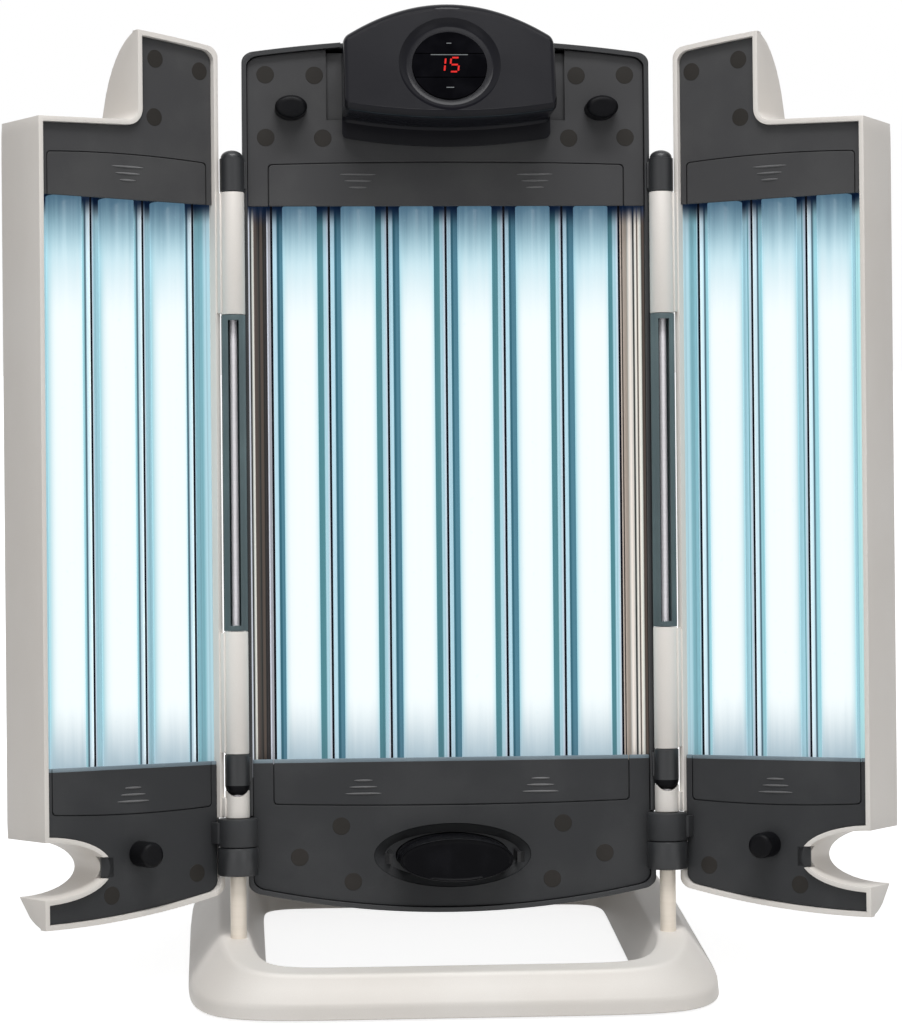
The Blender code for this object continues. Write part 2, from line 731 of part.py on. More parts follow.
def make_holders(prefix, lamps, full, middle_s, frame, finish, side=1):
    """Make the lampholder bar at each end of a panel's tubes; middle_s is the object's middle."""
    for end, low in (("top", LAMP_TOP + FIT), ("bottom", LAMP_BOTTOM - FIT - HOLDER_HEIGHT)):
        high = low + HOLDER_HEIGHT
        ends = (lamps[0] - LAMP_R, lamps[-1] + LAMP_R)
        back = floor_depth(ends[0] - middle_s, ends[1] - middle_s, low - FIT, high + FIT, full) - FIT
        x0, x1 = sorted((side * ends[0], side * ends[1]))
        slots = []
        for place in lamps:
            half = PIN_SPREAD / 2 + PIN_R + 2 * FIT
            thick = PIN_R + 2 * FIT
            z0, z1 = (low - WALL, low + PIN_LENGTH + 2 * FIT)
            if end == "bottom":
                z0, z1 = (high - PIN_LENGTH - 2 * FIT, high + WALL)
            middle = side * place
            slots.append(box(middle - half, middle + half, LAMP_Y - thick, LAMP_Y + thick, z0, z1))
        bar = box(x0, x1, LINER_BACK + WALL, back, low, high)
        node(f"{prefix}_{end}_lampholders", combined(bar, cut=slots), finish, frame)


def pod_axis():
    """Return the frame of the pod's tilted dish: local Z points out of its face."""
    rise = DISH_Z - POD_BOTTOM
    middle = Vector((0.0, -POD_FRONT + rise * math.tan(POD_TILT), DISH_Z))
    turn = Matrix.Rotation(math.radians(90.0) - POD_TILT, 4, "X")
    return Matrix.Translation(middle) @ turn


def pod_row(x):
    """Return the pod's section at a place across it, skirt first, as a closed row."""
    low = POD_BOTTOM + POD_BOTTOM_BOW * (x / POD_HALF) ** 2
    high = POD_TOP - POD_TOP_BOW * (x / POD_HALF) ** 2
    slope = math.tan(POD_TILT)
    toe = -POD_FRONT + (low - POD_BOTTOM) * slope
    brow = -POD_FRONT + (high - POD_BOTTOM) * slope
    lift = POD_ROUND * slope
    foot, back = low - POD_SKIRT, FACE_SET - 2 * FIT
    soft = 0.3 * POD_ROUND
    points = [
        (back, foot), (POD_SKIRT_SET, foot), (POD_SKIRT_SET, low),
        (toe + POD_ROUND, low), (toe + soft, low + soft), (toe + lift, low + POD_ROUND),
        (brow - lift, high - POD_ROUND), (brow + soft, high - soft), (brow + POD_ROUND, high), (back, high),
    ]
    return [(x, y, z) for y, z in points]


def disc_part(low, high, bottom, top, place):
    """Return the part of the round lens between two heights across it."""
    steps = 10
    start = math.degrees(math.asin(max(-1.0, low / LENS_R)))
    end = math.degrees(math.asin(min(1.0, high / LENS_R)))
    right = arc((0.0, 0.0), LENS_R, start, end, steps)
    left = [(-x, y) for x, y in right[::-1]]
    outline = []
    for x, y in right + left:
        if not outline or abs(x - outline[-1][0]) + abs(y - outline[-1][1]) > 1e-6:
            outline.append((x, y))
    if abs(outline[0][0] - outline[-1][0]) + abs(outline[0][1] - outline[-1][1]) < 1e-6:
        outline.pop()
    return loft([[place @ Vector((x, y, z)) for x, y in outline] for z in (bottom, top)])


def make_pod(frame, looks):
    """Make the timer pod, its display and its two keys."""
    place = pod_axis()
    steps = 12
    block = loft([pod_row(-POD_HALF + 2 * POD_HALF * i / steps) for i in range(steps + 1)])
    floor = -DISH_DEEP - LENS_THICK + LENS_PROUD
    well = floor - KEY_TRAVEL - KEY_REST
    dish = turned([(LENS_R + FIT, well), (LENS_R + FIT, -DISH_DEEP), (DISH_R - DISH_DEEP, -DISH_DEEP),
                   (DISH_R, 0.0), (DISH_R, DISH_R)], 32, place)
    pocket_low = DISH_Z - POD_POCKET[1] / 2
    pocket = box(-POD_POCKET[0] / 2, POD_POCKET[0] / 2, -POD_POCKET_FRONT, 2 * FACE_SET,
                 pocket_low, pocket_low + POD_POCKET[1])
    node("pod_housing", combined(block, cut=[dish, pocket]), looks["pod"], frame)

    face = LENS_PROUD - DISH_DEEP
    lens = disc_part(-KEY_SPLIT + FIT, KEY_SPLIT - FIT, well + FIT, face, place)
    node("display_lens", lens, looks["gloss"], frame)
    for name, sign in (("timer_up_button", 1), ("timer_down_button", -1)):
        low, high = sorted((sign * (KEY_SPLIT + FIT), sign * LENS_R))
        key = disc_part(low, high, floor, face, place)
        middle = place @ Vector((0.0, sign * (KEY_SPLIT + LENS_R) / 2, face))
        node(name, key, looks["gloss"], frame, middle)

    wide, thick, tall = BOARD_SIZE
    back = -POD_POCKET_FRONT + FIT
    board = box(-wide / 2, wide / 2, back, back + thick, DISH_Z - tall / 2, DISH_Z + tall / 2)
    node("timer_board", board, looks["board"], frame)


def make_open_button(frame, looks):
    """Make the push button and the two hooks that hold the wings shut."""
    rows = []
    steps = ((BUTTON_TAIL, 0.0), (3 * EDGE_SOFT - BUTTON_FRONT, 0.0), (EDGE_SOFT - BUTTON_FRONT, EDGE_SOFT),
             (-BUTTON_FRONT, 4 * EDGE_SOFT))
    for y, inset in steps:
        rows.append([(x, y, z) for x, z in ellipse(BUTTON_A - inset, BUTTON_B - inset, 0.0, CUT_Z)])
    node("open_button", loft(rows), looks["gloss"], frame, (0.0, -BUTTON_FRONT, CUT_Z))
    behind = FACE_SET + LINER + FIT
    for name, side in (("latch_hook_left", -1), ("latch_hook_right", 1)):
        outer = HOOK_INNER + HOOK_STEM
        tip = -behind - HOOK_NOSE
        section = [(HOOK_INNER, BUTTON_TAIL), (outer, BUTTON_TAIL), (outer, -behind),
                   (outer + HOOK_NOSE, -behind), (outer, tip), (HOOK_INNER, tip)]
        levels = (CUT_Z - HOOK_HEIGHT / 2, CUT_Z + HOOK_HEIGHT / 2)
        rows = [[(side * x, y, z) for x, y in section] for z in levels]
        node(name, loft(rows), looks["dark"], frame, (side * HOOK_INNER, 0.0, CUT_Z))


def buffer_solid(outline_at, front):
    """Return a rubber buffer with a softened end."""
    rows = []
    steps = ((FACE_SET - FIT / 2, 0.0), (2.5 * EDGE_SOFT - front, 0.0), (0.8 * EDGE_SOFT - front, EDGE_SOFT),
             (-front, 2.8 * EDGE_SOFT))
    for y, inset in steps:
        rows.append([(x, y, z) for x, z in outline_at(inset)])
    return loft(rows)


def make_centre(frame, looks):
    """Make every piece of the centre panel."""
    make_centre_shell(frame, looks["dark"])
    span = make_centre_liners(frame, looks["dark"])
    lamps = [(i - 2.5) * LAMP_PITCH for i in range(6)]
    edge = CENTRE_HALF - RIM - FIT
    node("centre_reflector", corrugated(-edge, edge, lamps), looks["mirror"], frame)
    make_holders("centre", lamps, CENTRE_DEPTH, 0.0, frame, looks["holder"])
    grips = (-GRIP_SET, GRIP_SET)
    lamp_cover("centre_top_lamp_cover", span, WINDOW_TOP, 1, grips, looks["dark"], frame)
    lamp_cover("centre_bottom_lamp_cover", span, WINDOW_BOTTOM, -1, grips, looks["dark"], frame)
    make_pod(frame, looks)
    make_open_button(frame, looks)
    reach = FACE_SET - FIT
    for name, side in (("centre_bumper_left", -1), ("centre_bumper_right", 1)):
        def outline(inset, side=side):
            return ellipse(BUFFER_A - inset, BUFFER_B - inset, side * BUFFER_X, BUFFER_Z, 16)

        node(name, buffer_solid(outline, reach), looks["rubber"], frame)
    wide, thick, tall = BALLAST_SIZE
    for name, side in (("centre_ballast_left", -1), ("centre_ballast_right", 1)):
        x = side * BALLAST_X
        back = floor_depth(x - wide / 2, x + wide / 2, BALLAST_Z, BALLAST_Z + tall, CENTRE_DEPTH) - FIT
        gear = box(x - wide / 2, x + wide / 2, back - thick, back, BALLAST_Z, BALLAST_Z + tall)
        node(name, gear, looks["steel"], frame)
    back = RIM_FRONT + crown(0.0, GLAND_Z, CENTRE_DEPTH) + FIT
    turn = Matrix.Translation((0.0, back, GLAND_Z)) @ Matrix.Rotation(math.radians(-90.0), 4, "X")
    collar = (1.3 * GLAND_R, 0.3 * GLAND_LENGTH)
    profile = [(collar[0], 0.0), collar, (GLAND_R, collar[1]), (0.8 * GLAND_R, GLAND_LENGTH)]
    gland = turned(profile, 16, turn)
    node("mains_inlet", gland, looks["rubber"], frame)


def make_wing_shell(name, side, frame, finish):
    """Make one pearl wing tray with its hinge barrels and catch notch."""
    hollow = wing_body(side, RIM, -FACE_SET, LINER_BACK + FIT, WALL)
    room = ring_room(0.0, RING_BOTTOM - WALL / 2, WING_RING_BOTTOM + RING_HEIGHT + 2 * FIT)
    shell = combined(wing_body(side, 0.0, RIM_FRONT, RIM_FRONT + RIM, 0.0), cut=[hollow, room])
    join = []
    cup = round_end(KNUCKLE_BOTTOM - CUP_GAP, BARREL_R)[::-1]
    runs = ((STUB_BOTTOM, STUB_BOTTOM + STUB_HEIGHT), (BARREL_BOTTOM, INSERT_BOTTOM - STACK_GAP),
            (INSERT_TOP + STACK_GAP, BARREL_TOP))
    for low, high in runs:
        plain = straight(BARREL_R, low, high)
        join.append(sleeve(0.0, plain[:2] + cup if low == STUB_BOTTOM else plain))
        web = sorted((side * 0.7 * BARREL_R, side * (HINGE_EDGE + 0.7 * RIM)))
        join.append(box(web[0], web[1], 0.2 * RIM_FRONT, RIM_FRONT + WALL, low + 0.001, high - 0.001))
    half = CATCH_HEIGHT / 2 + FIT
    reach = sorted((side * (HINGE_X - CUT_A - RIM - WALL), side * (HINGE_X - CUT_A + 2 * WALL)))
    behind = LINER_BACK + HOOK_NOSE + 4 * FIT
    notch = box(reach[0], reach[1], 0.0, behind, CUT_Z - half, CUT_Z + half)
    return node(name, combined(shell, join, [notch]), finish, frame)


def make_wing_liners(prefix, side, frame, finish):
    """Make the dark plates above and below one wing's lamps."""
    rows = wing_edges(RIM + FIT)
    start = HINGE_EDGE + RIM
    span = (start + COVER_SIDE / 3, WING_REACH - RIM - COVER_SIDE / 3)
    shape = liner_outline(rows, WINDOW_TOP, 2 * TOP_Z, WING_SPANS)
    top = plate([(side * s, z) for s, z in shape], FACE_SET, LINER_BACK)
    outline = cover_outline(span[0], span[1], WINDOW_TOP, 1, FIT)
    cover = plate([(side * s, z) for s, z in outline], 0.0, 2 * FACE_SET)
    node(f"{prefix}_top_liner", combined(top, cut=[cover]), finish, frame)

    shape = liner_outline(rows, 0.0, WINDOW_BOTTOM, WING_SPANS)
    low = plate([(side * s, z) for s, z in shape], FACE_SET, LINER_BACK)
    outline = cover_outline(span[0], span[1], WINDOW_BOTTOM, -1, FIT)
    cover = plate([(side * s, z) for s, z in outline], 0.0, 2 * FACE_SET)
    tab = sorted((side * (HINGE_X - CUT_A - RIM - 2 * WALL), side * (HINGE_X - CATCH_END)))
    catch = box(tab[0], tab[1], FACE_SET, LINER_BACK, CUT_Z - CATCH_HEIGHT / 2, CUT_Z + CATCH_HEIGHT / 2)
    ring_top = WING_RING_BOTTOM + RING_HEIGHT
    ring = sleeve(0.0, straight(RING_R, WING_RING_BOTTOM, ring_top), RING_SEGMENTS)
    drop = sorted((side * (start + FIT), side * (start + FIT + 2 * WALL)))
    leg = box(drop[0], drop[1], 0.2 * RIM_FRONT, LINER_BACK, WING_RING_BOTTOM + WALL, ring_top - WALL)
    solid = combined(low, [catch, ring, leg], [cover])
    node(f"{prefix}_bottom_liner", solid, finish, frame)
    return span


def make_hinge_insert(name, side, frame, finish):
    """Make the slotted tube between a wing's two hinge barrels."""
    open_half = math.degrees(math.asin(INSERT_SLOT / 2 / BARREL_R))
    inner_half = math.degrees(math.asin(min(0.95, INSERT_SLOT / 2 / BORE_R)))
    outer = arc((0.0, 0.0), BARREL_R, -90 + open_half, 270 - open_half, 18)
    inner = arc((0.0, 0.0), BORE_R, 270 - inner_half, -90 + inner_half, 14)
    section = outer + inner
    solid = loft([[(x, y, z) for x, y in section] for z in (INSERT_BOTTOM, INSERT_TOP)])
    return node(name, solid, finish, frame)


def make_wing(prefix, side, frame, looks):
    """Make every piece of one wing in its hinge frame."""
    make_wing_shell(f"{prefix}_shell", side, frame, looks["pearl"])
    span = make_wing_liners(prefix, side, frame, looks["dark"])
    lamps = [WING_LAMP_S + i * LAMP_PITCH for i in range(3)]
    start = HINGE_EDGE + RIM + FIT
    end = WING_REACH - RIM - FIT
    node(f"{prefix}_reflector", corrugated(start, end, lamps, side), looks["mirror"], frame)
    make_holders(prefix, lamps, WING_DEPTH, HINGE_X, frame, looks["holder"], side)
    grips = ((span[0] + span[1]) / 2,)
    lamp_cover(f"{prefix}_top_lamp_cover", span, WINDOW_TOP, 1, grips, looks["dark"], frame, side)
    lamp_cover(f"{prefix}_bottom_lamp_cover", span, WINDOW_BOTTOM, -1, grips, looks["dark"], frame, side)
    make_hinge_insert(f"{prefix}_hinge_insert", side, frame, looks["slate"])

    def outline(inset):
        r = WING_BUFFER_R - inset
        return ellipse(r, r, side * WING_BUFFER_S, WING_BUFFER_Z, 16)

    node(f"{prefix}_bumper", buffer_solid(outline, FACE_SET - FIT), looks["rubber"], frame)


def base_top(y):
    """Return the height of the base's top band, lower along the front bar."""
    share = min(1.0, max(0.0, (y - POST_Y + FRONT_RISE_LEAD) / FRONT_RISE_RUN))
    return BASE_FRONT_TOP + (BASE_TOP - BASE_FRONT_TOP) * share * share * (3 - 2 * share)


def base_section(angle):
    """Return the base ring's section at an angle round its loop."""
    def point(inset, front_share, power):
        c, s = math.cos(angle), math.sin(angle)
        x = (BASE_HALF - inset) * math.copysign(abs(c) ** (2 / power), c)
        deep = BASE_DEPTH_HALF - inset * (front_share if s < 0 else 0.80)
        return x, deep * math.copysign(abs(s) ** (2 / power), s)

    foot = point(0.0, FRONT_SET_SHARE, BASE_SQUARE)
    skirt = point(EDGE_SOFT, FRONT_SET_SHARE, BASE_SQUARE)
    crest = point(LEG_OUTER_SET, 0.62, BASE_SQUARE + 1.0)
    inner = point(LEG_INNER_SET, FRONT_SET_SHARE, BASE_SQUARE + 3.0)
    toe = point(LEG_FOOT_SET, FRONT_SET_SHARE, BASE_SQUARE + 6.0)
    high = base_top(inner[1])
    soft = 2 * EDGE_SOFT
    return [
        (*foot, BASE_FLOOR), (*skirt, BASE_SKIRT),
        (crest[0] + (skirt[0] - crest[0]) * 0.08, crest[1] + (skirt[1] - crest[1]) * 0.08, high - soft),
        (crest[0] + (inner[0] - crest[0]) * 0.12, crest[1] + (inner[1] - crest[1]) * 0.12, high),
        (inner[0] + (crest[0] - inner[0]) * 0.12, inner[1] + (crest[1] - inner[1]) * 0.12, high),
        (inner[0] + (toe[0] - inner[0]) * 0.08, inner[1] + (toe[1] - inner[1]) * 0.08, high - soft),
        (*toe, BASE_FLOOR),
    ]


def make_base(frame, looks):
    """Make the loop-shaped base, its feet and the two leaning posts."""
    stations = 52
    rows = [base_section(math.tau * (i + 0.5) / stations) for i in range(stations)]
    socket_low = BASE_TOP - SOCKET_DEEP
    sockets = []
    for side in (-1, 1):
        place = frame.matrix_world @ Matrix.Translation((side * HINGE_X, 0.0, 0.0))
        bore = POST_R + BORE_CLEAR
        sockets.append(turned([(bore, socket_low), (bore, 2 * BASE_TOP)], 16, place))
    node("base_frame", combined(ring_loft(rows), cut=sockets), looks["pearl"])

    for name, x, y in (("foot_front_left", -1, -1), ("foot_front_right", 1, -1),
                       ("foot_rear_left", -1, 1), ("foot_rear_right", 1, 1)):
        place = Matrix.Translation((x * FOOT_X, y * FOOT_Y, 0.0))
        foot = turned([(FOOT_R * 0.9, 0.0), (FOOT_R, BASE_FLOOR - FIT / 3)], 16, place)
        node(name, foot, looks["rubber"])

    rod_top = TOP_KNUCKLE_BOTTOM + KNUCKLE_HEIGHT - 2 * DOME_RISE - STACK_GAP
    shoulder = RING_BOTTOM - STACK_GAP
    for name, side in (("hinge_post_left", -1), ("hinge_post_right", 1)):
        place = Matrix.Translation((side * HINGE_X, 0.0, 0.0))
        profile = [(POST_R, socket_low + STACK_GAP), (POST_R, shoulder), (ROD_R, shoulder), (ROD_R, rod_top)]
        node(name, turned(profile, 16, place), looks["steel"], frame)


def main():
    """Clear the scene and build the tanner."""
    for old in list(bpy.data.objects):
        bpy.data.objects.remove(old)
    looks = make_materials()
    lean = (math.sin(RECLINE) * PIVOT_Z, math.cos(RECLINE) * PIVOT_Z)
    frame = empty("panel_frame", (0.0, POST_Y - lean[0], PIVOT_Z - lean[1]), (-RECLINE, 0.0, 0.0))
    left = empty("left_wing_axis", (-HINGE_X, 0.0, 0.0), (0.0, 0.0, WING_OPEN), frame)
    right = empty("right_wing_axis", (HINGE_X, 0.0, 0.0), (0.0, 0.0, -WING_OPEN), frame)
    bpy.context.view_layer.update()

    make_base(frame, looks)
    make_centre(frame, looks)
    make_wing("left_wing", -1, left, looks)
    make_wing("right_wing", 1, right, looks)
    tube = lamp_solid()
    bmesh.ops.dissolve_limit(tube, angle_limit=FLAT_ANGLE, verts=tube.verts[:], edges=tube.edges[:])
    bmesh.ops.triangulate(tube, faces=tube.faces[:])
    pattern = bpy.data.meshes.new("lamp")
    tube.to_mesh(pattern)
    tube.free()
    wing_lamps = [WING_LAMP_S + i * LAMP_PITCH for i in range(3)]
    make_lamps("centre", [(i - 2.5) * LAMP_PITCH for i in range(6)], frame, looks["lamp"], pattern)
    make_lamps("left_wing", wing_lamps, left, looks["lamp"], pattern, -1)
    make_lamps("right_wing", wing_lamps, right, looks["lamp"], pattern, 1)
    bpy.data.meshes.remove(pattern)


main()
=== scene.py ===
"""Looks of the facial tanner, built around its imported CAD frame.

Pieces are drawn upright in a panel frame, whose heights start at the floor, or in a wing frame, whose s
runs from the hinge axis to the free edge. Each piece's place is then put in its mesh.
"""
import json
import logging
import math
from collections.abc import Callable, Sequence
from dataclasses import dataclass, replace
from enum import Enum

import bmesh
import bpy
from mathutils import Matrix, Vector

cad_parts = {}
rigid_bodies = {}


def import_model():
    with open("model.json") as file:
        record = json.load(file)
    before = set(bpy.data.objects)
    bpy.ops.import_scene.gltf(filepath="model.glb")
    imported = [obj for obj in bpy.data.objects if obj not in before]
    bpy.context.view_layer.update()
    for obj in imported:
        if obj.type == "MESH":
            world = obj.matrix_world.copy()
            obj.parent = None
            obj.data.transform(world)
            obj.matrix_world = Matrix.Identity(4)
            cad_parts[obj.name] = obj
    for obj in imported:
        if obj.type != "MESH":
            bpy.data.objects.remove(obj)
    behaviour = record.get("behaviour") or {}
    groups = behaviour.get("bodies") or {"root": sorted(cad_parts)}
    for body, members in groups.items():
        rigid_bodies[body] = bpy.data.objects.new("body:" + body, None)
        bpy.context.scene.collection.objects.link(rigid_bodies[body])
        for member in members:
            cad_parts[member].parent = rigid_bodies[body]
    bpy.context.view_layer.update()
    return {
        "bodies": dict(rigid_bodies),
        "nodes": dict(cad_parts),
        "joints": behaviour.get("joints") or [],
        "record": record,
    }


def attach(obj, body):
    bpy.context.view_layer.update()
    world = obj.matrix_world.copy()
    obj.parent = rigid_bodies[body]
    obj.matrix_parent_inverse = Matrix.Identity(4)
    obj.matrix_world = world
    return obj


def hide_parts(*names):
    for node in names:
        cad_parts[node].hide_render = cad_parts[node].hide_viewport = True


LOG = logging.getLogger("tanner")
Point = tuple[float, float]
Spot = Sequence[float]
Colour = tuple[float, float, float]
Row = tuple[float, float, Callable[[float], float]]
Station = tuple[float, float, float, float]
MM = 1000.0
SAME = 1e-6


class Side(Enum):
    """Which wing a piece belongs to."""

    LEFT = -1
    RIGHT = 1

    @property
    def word(self) -> str:
        """Plain word for names."""
        return self.name.lower()

    @property
    def wing(self) -> str:
        """Name of the wing's CAD body."""
        return f"{self.word}_wing"


class End(Enum):
    """Which end of the lamps a piece belongs to."""

    TOP = 1
    BOTTOM = -1

    @property
    def word(self) -> str:
        """Plain word for names."""
        return self.name.lower()

    @property
    def window(self) -> float:
        """Height of the lamp window's edge at this end."""
        return SIZE.window_high if self is End.TOP else SIZE.window_low


@dataclass(frozen=True)
class Stance:
    """How the panels stand: the lean, the wing angle and the place of the posts."""

    recline: float = math.radians(7.8)
    wing_open: float = math.radians(32.5)
    post_y: float = -0.1155
    pivot_z: float = 0.040

    def panel(self) -> Matrix:
        """World matrix of the leaning panel frame."""
        lean = Matrix.Rotation(-self.recline, 4, "X") @ Matrix.Translation((0.0, 0.0, -self.pivot_z))
        return Matrix.Translation((0.0, self.post_y, self.pivot_z)) @ lean

    def wing(self, side: Side) -> Matrix:
        """World matrix of a wing frame; the left one is mirrored."""
        swing = Matrix.Rotation(-side.value * self.wing_open, 4, "Z")
        return self.hinge(side) @ swing @ Matrix.Diagonal((side.value, 1.0, 1.0, 1.0))

    def hinge(self, side: Side) -> Matrix:
        """World matrix of a hinge line, upright in the panel frame."""
        return self.panel() @ Matrix.Translation((side.value * SIZE.hinge_x, 0.0, 0.0))


@dataclass(frozen=True)
class Sizes:
    """Sizes that several pieces share, in metres."""

    hinge_x: float = 0.1605
    hinge_edge: float = 0.0078
    barrel_r: float = 0.0090
    knuckle_r: float = 0.0092
    ring_r: float = 0.0150
    rod_r: float = 0.0040
    bore_r: float = 0.0043
    rim_front: float = 0.0060
    face: float = 0.0100
    rim: float = 0.0036
    wall: float = 0.0026
    liner: float = 0.0024
    fit: float = 0.00035
    seam: float = 0.0006
    centre_depth: float = 0.0660
    wing_depth: float = 0.0585
    edge_depth: float = 0.0105
    crown_top: float = 0.090
    crown_bottom: float = 0.075
    back_round: float = 0.014
    free_round: float = 0.004
    corner: float = 0.008
    top_z: float = 0.7140
    top_bow: float = 0.0122
    wing_over: float = 0.0030
    bottom_z: float = 0.0605
    bottom_bow: float = 0.0193
    closed_gap: float = 0.0016
    tower: float = 0.0765
    notch_z: float = 0.6445
    notch_rise: float = 0.0025
    notch_round: float = 0.009
    cut_z: float = 0.1028
    cut_a: float = 0.0525
    cut_b: float = 0.0207
    jaw_top: float = 0.1350
    lamp_bottom: float = 0.1626
    lamp_top: float = 0.6000
    lamp_y: float = 0.0270
    lamp_r: float = 0.0130
    pitch: float = 0.0440
    window_low: float = 0.1735
    window_high: float = 0.5891
    cover_height: float = 0.0328
    cover_bow: float = 0.0020
    cover_side: float = 0.0160
    bay_half: float = 0.0895
    bay_z: float = 0.6535

    @property
    def liner_back(self) -> float:
        """Depth of the liners' back."""
        return self.face + self.liner

    @property
    def centre_half(self) -> float:
        """Half width of the centre tray."""
        return self.hinge_x - self.hinge_edge

    @property
    def liner_half(self) -> float:
        """Half width of the centre liners."""
        return self.centre_half - self.rim - self.fit

    @property
    def wing_sides(self) -> Point:
        """Where the wing liners start and end across."""
        return self.hinge_edge + self.rim + self.fit, self.reach - self.rim - self.fit

    @property
    def reach(self) -> float:
        """How far a wing reaches from its hinge axis."""
        return self.hinge_x - self.closed_gap / 2

    def top(self, x: float) -> float:
        """Height of the bowed top edge, x from the middle."""
        return self.top_z - self.top_bow * (x / self.hinge_x) ** 2

    def bottom(self, x: float) -> float:
        """Height of the bowed bottom edge, x from the middle."""
        return self.bottom_z + self.bottom_bow * (x / self.hinge_x) ** 2

    def crown(self, x: float, z: float, full: float, over: float) -> float:
        """How far a tray reaches behind its rim.

        Args:
            x: Place across, from the object's middle.
            z: Height on the panel.
            full: Depth of the tray's middle.
            over: How much higher this tray's top edge lies than the centre tray's.

        Returns:
            The depth.
        """
        def roll(height: float, reach: float) -> float:
            """Rise of a quarter ellipse."""
            rest = max(0.0, 1.0 - max(height, 0.0) / reach)
            return math.sqrt(max(0.0, 1.0 - rest * rest))

        high = roll(self.top(x) + over - z, self.crown_top)
        return max(self.edge_depth, full * min(high, roll(z - self.bottom(x), self.crown_bottom)))


STANCE = Stance()
SIZE = Sizes()
TO_FRONT = Matrix.Rotation(math.radians(90.0), 4, "X")


class Wire:
    """A shader socket that can be used in Python expressions on values."""

    def __init__(self, shade: "Shade", socket: bpy.types.NodeSocket) -> None:
        """Wrap one output socket of a material's tree."""
        self.shade = shade
        self.socket = socket

    def _math(self, operation: str, first: object, second: object) -> "Wire":
        """Add a Math node and return its value."""
        return self.shade.wire("ShaderNodeMath", {"operation": operation}, {0: first, 1: second})

    def __add__(self, other: object) -> "Wire":
        """Sum."""
        return self._math("ADD", self, other)

    def __radd__(self, other: object) -> "Wire":
        """Reflected sum."""
        return self._math("ADD", other, self)

    def __sub__(self, other: object) -> "Wire":
        """Difference."""
        return self._math("SUBTRACT", self, other)

    def __rsub__(self, other: object) -> "Wire":
        """Reflected difference."""
        return self._math("SUBTRACT", other, self)

    def __mul__(self, other: object) -> "Wire":
        """Product."""
        return self._math("MULTIPLY", self, other)

    def __rmul__(self, other: object) -> "Wire":
        """Reflected product."""
        return self._math("MULTIPLY", other, self)

    def most(self, other: object) -> "Wire":
        """The greater of two values."""
        return self._math("MAXIMUM", self, other)

    def ramp(self, low: float, high: float) -> "Wire":
        """Smooth step from 0 at low to 1 at high."""
        limits = {"Value": self, "From Min": low, "From Max": high}
        return self.shade.wire("ShaderNodeMapRange", {"interpolation_type": "SMOOTHSTEP"}, limits)

    def mix(self, first: object, second: object) -> "Wire":
        """Blend two colours with this value as the factor."""
        sockets = {"Factor": self, "A": first, "B": second}
        return self.shade.wire("ShaderNodeMix", {"data_type": "RGBA"}, sockets, "Result")


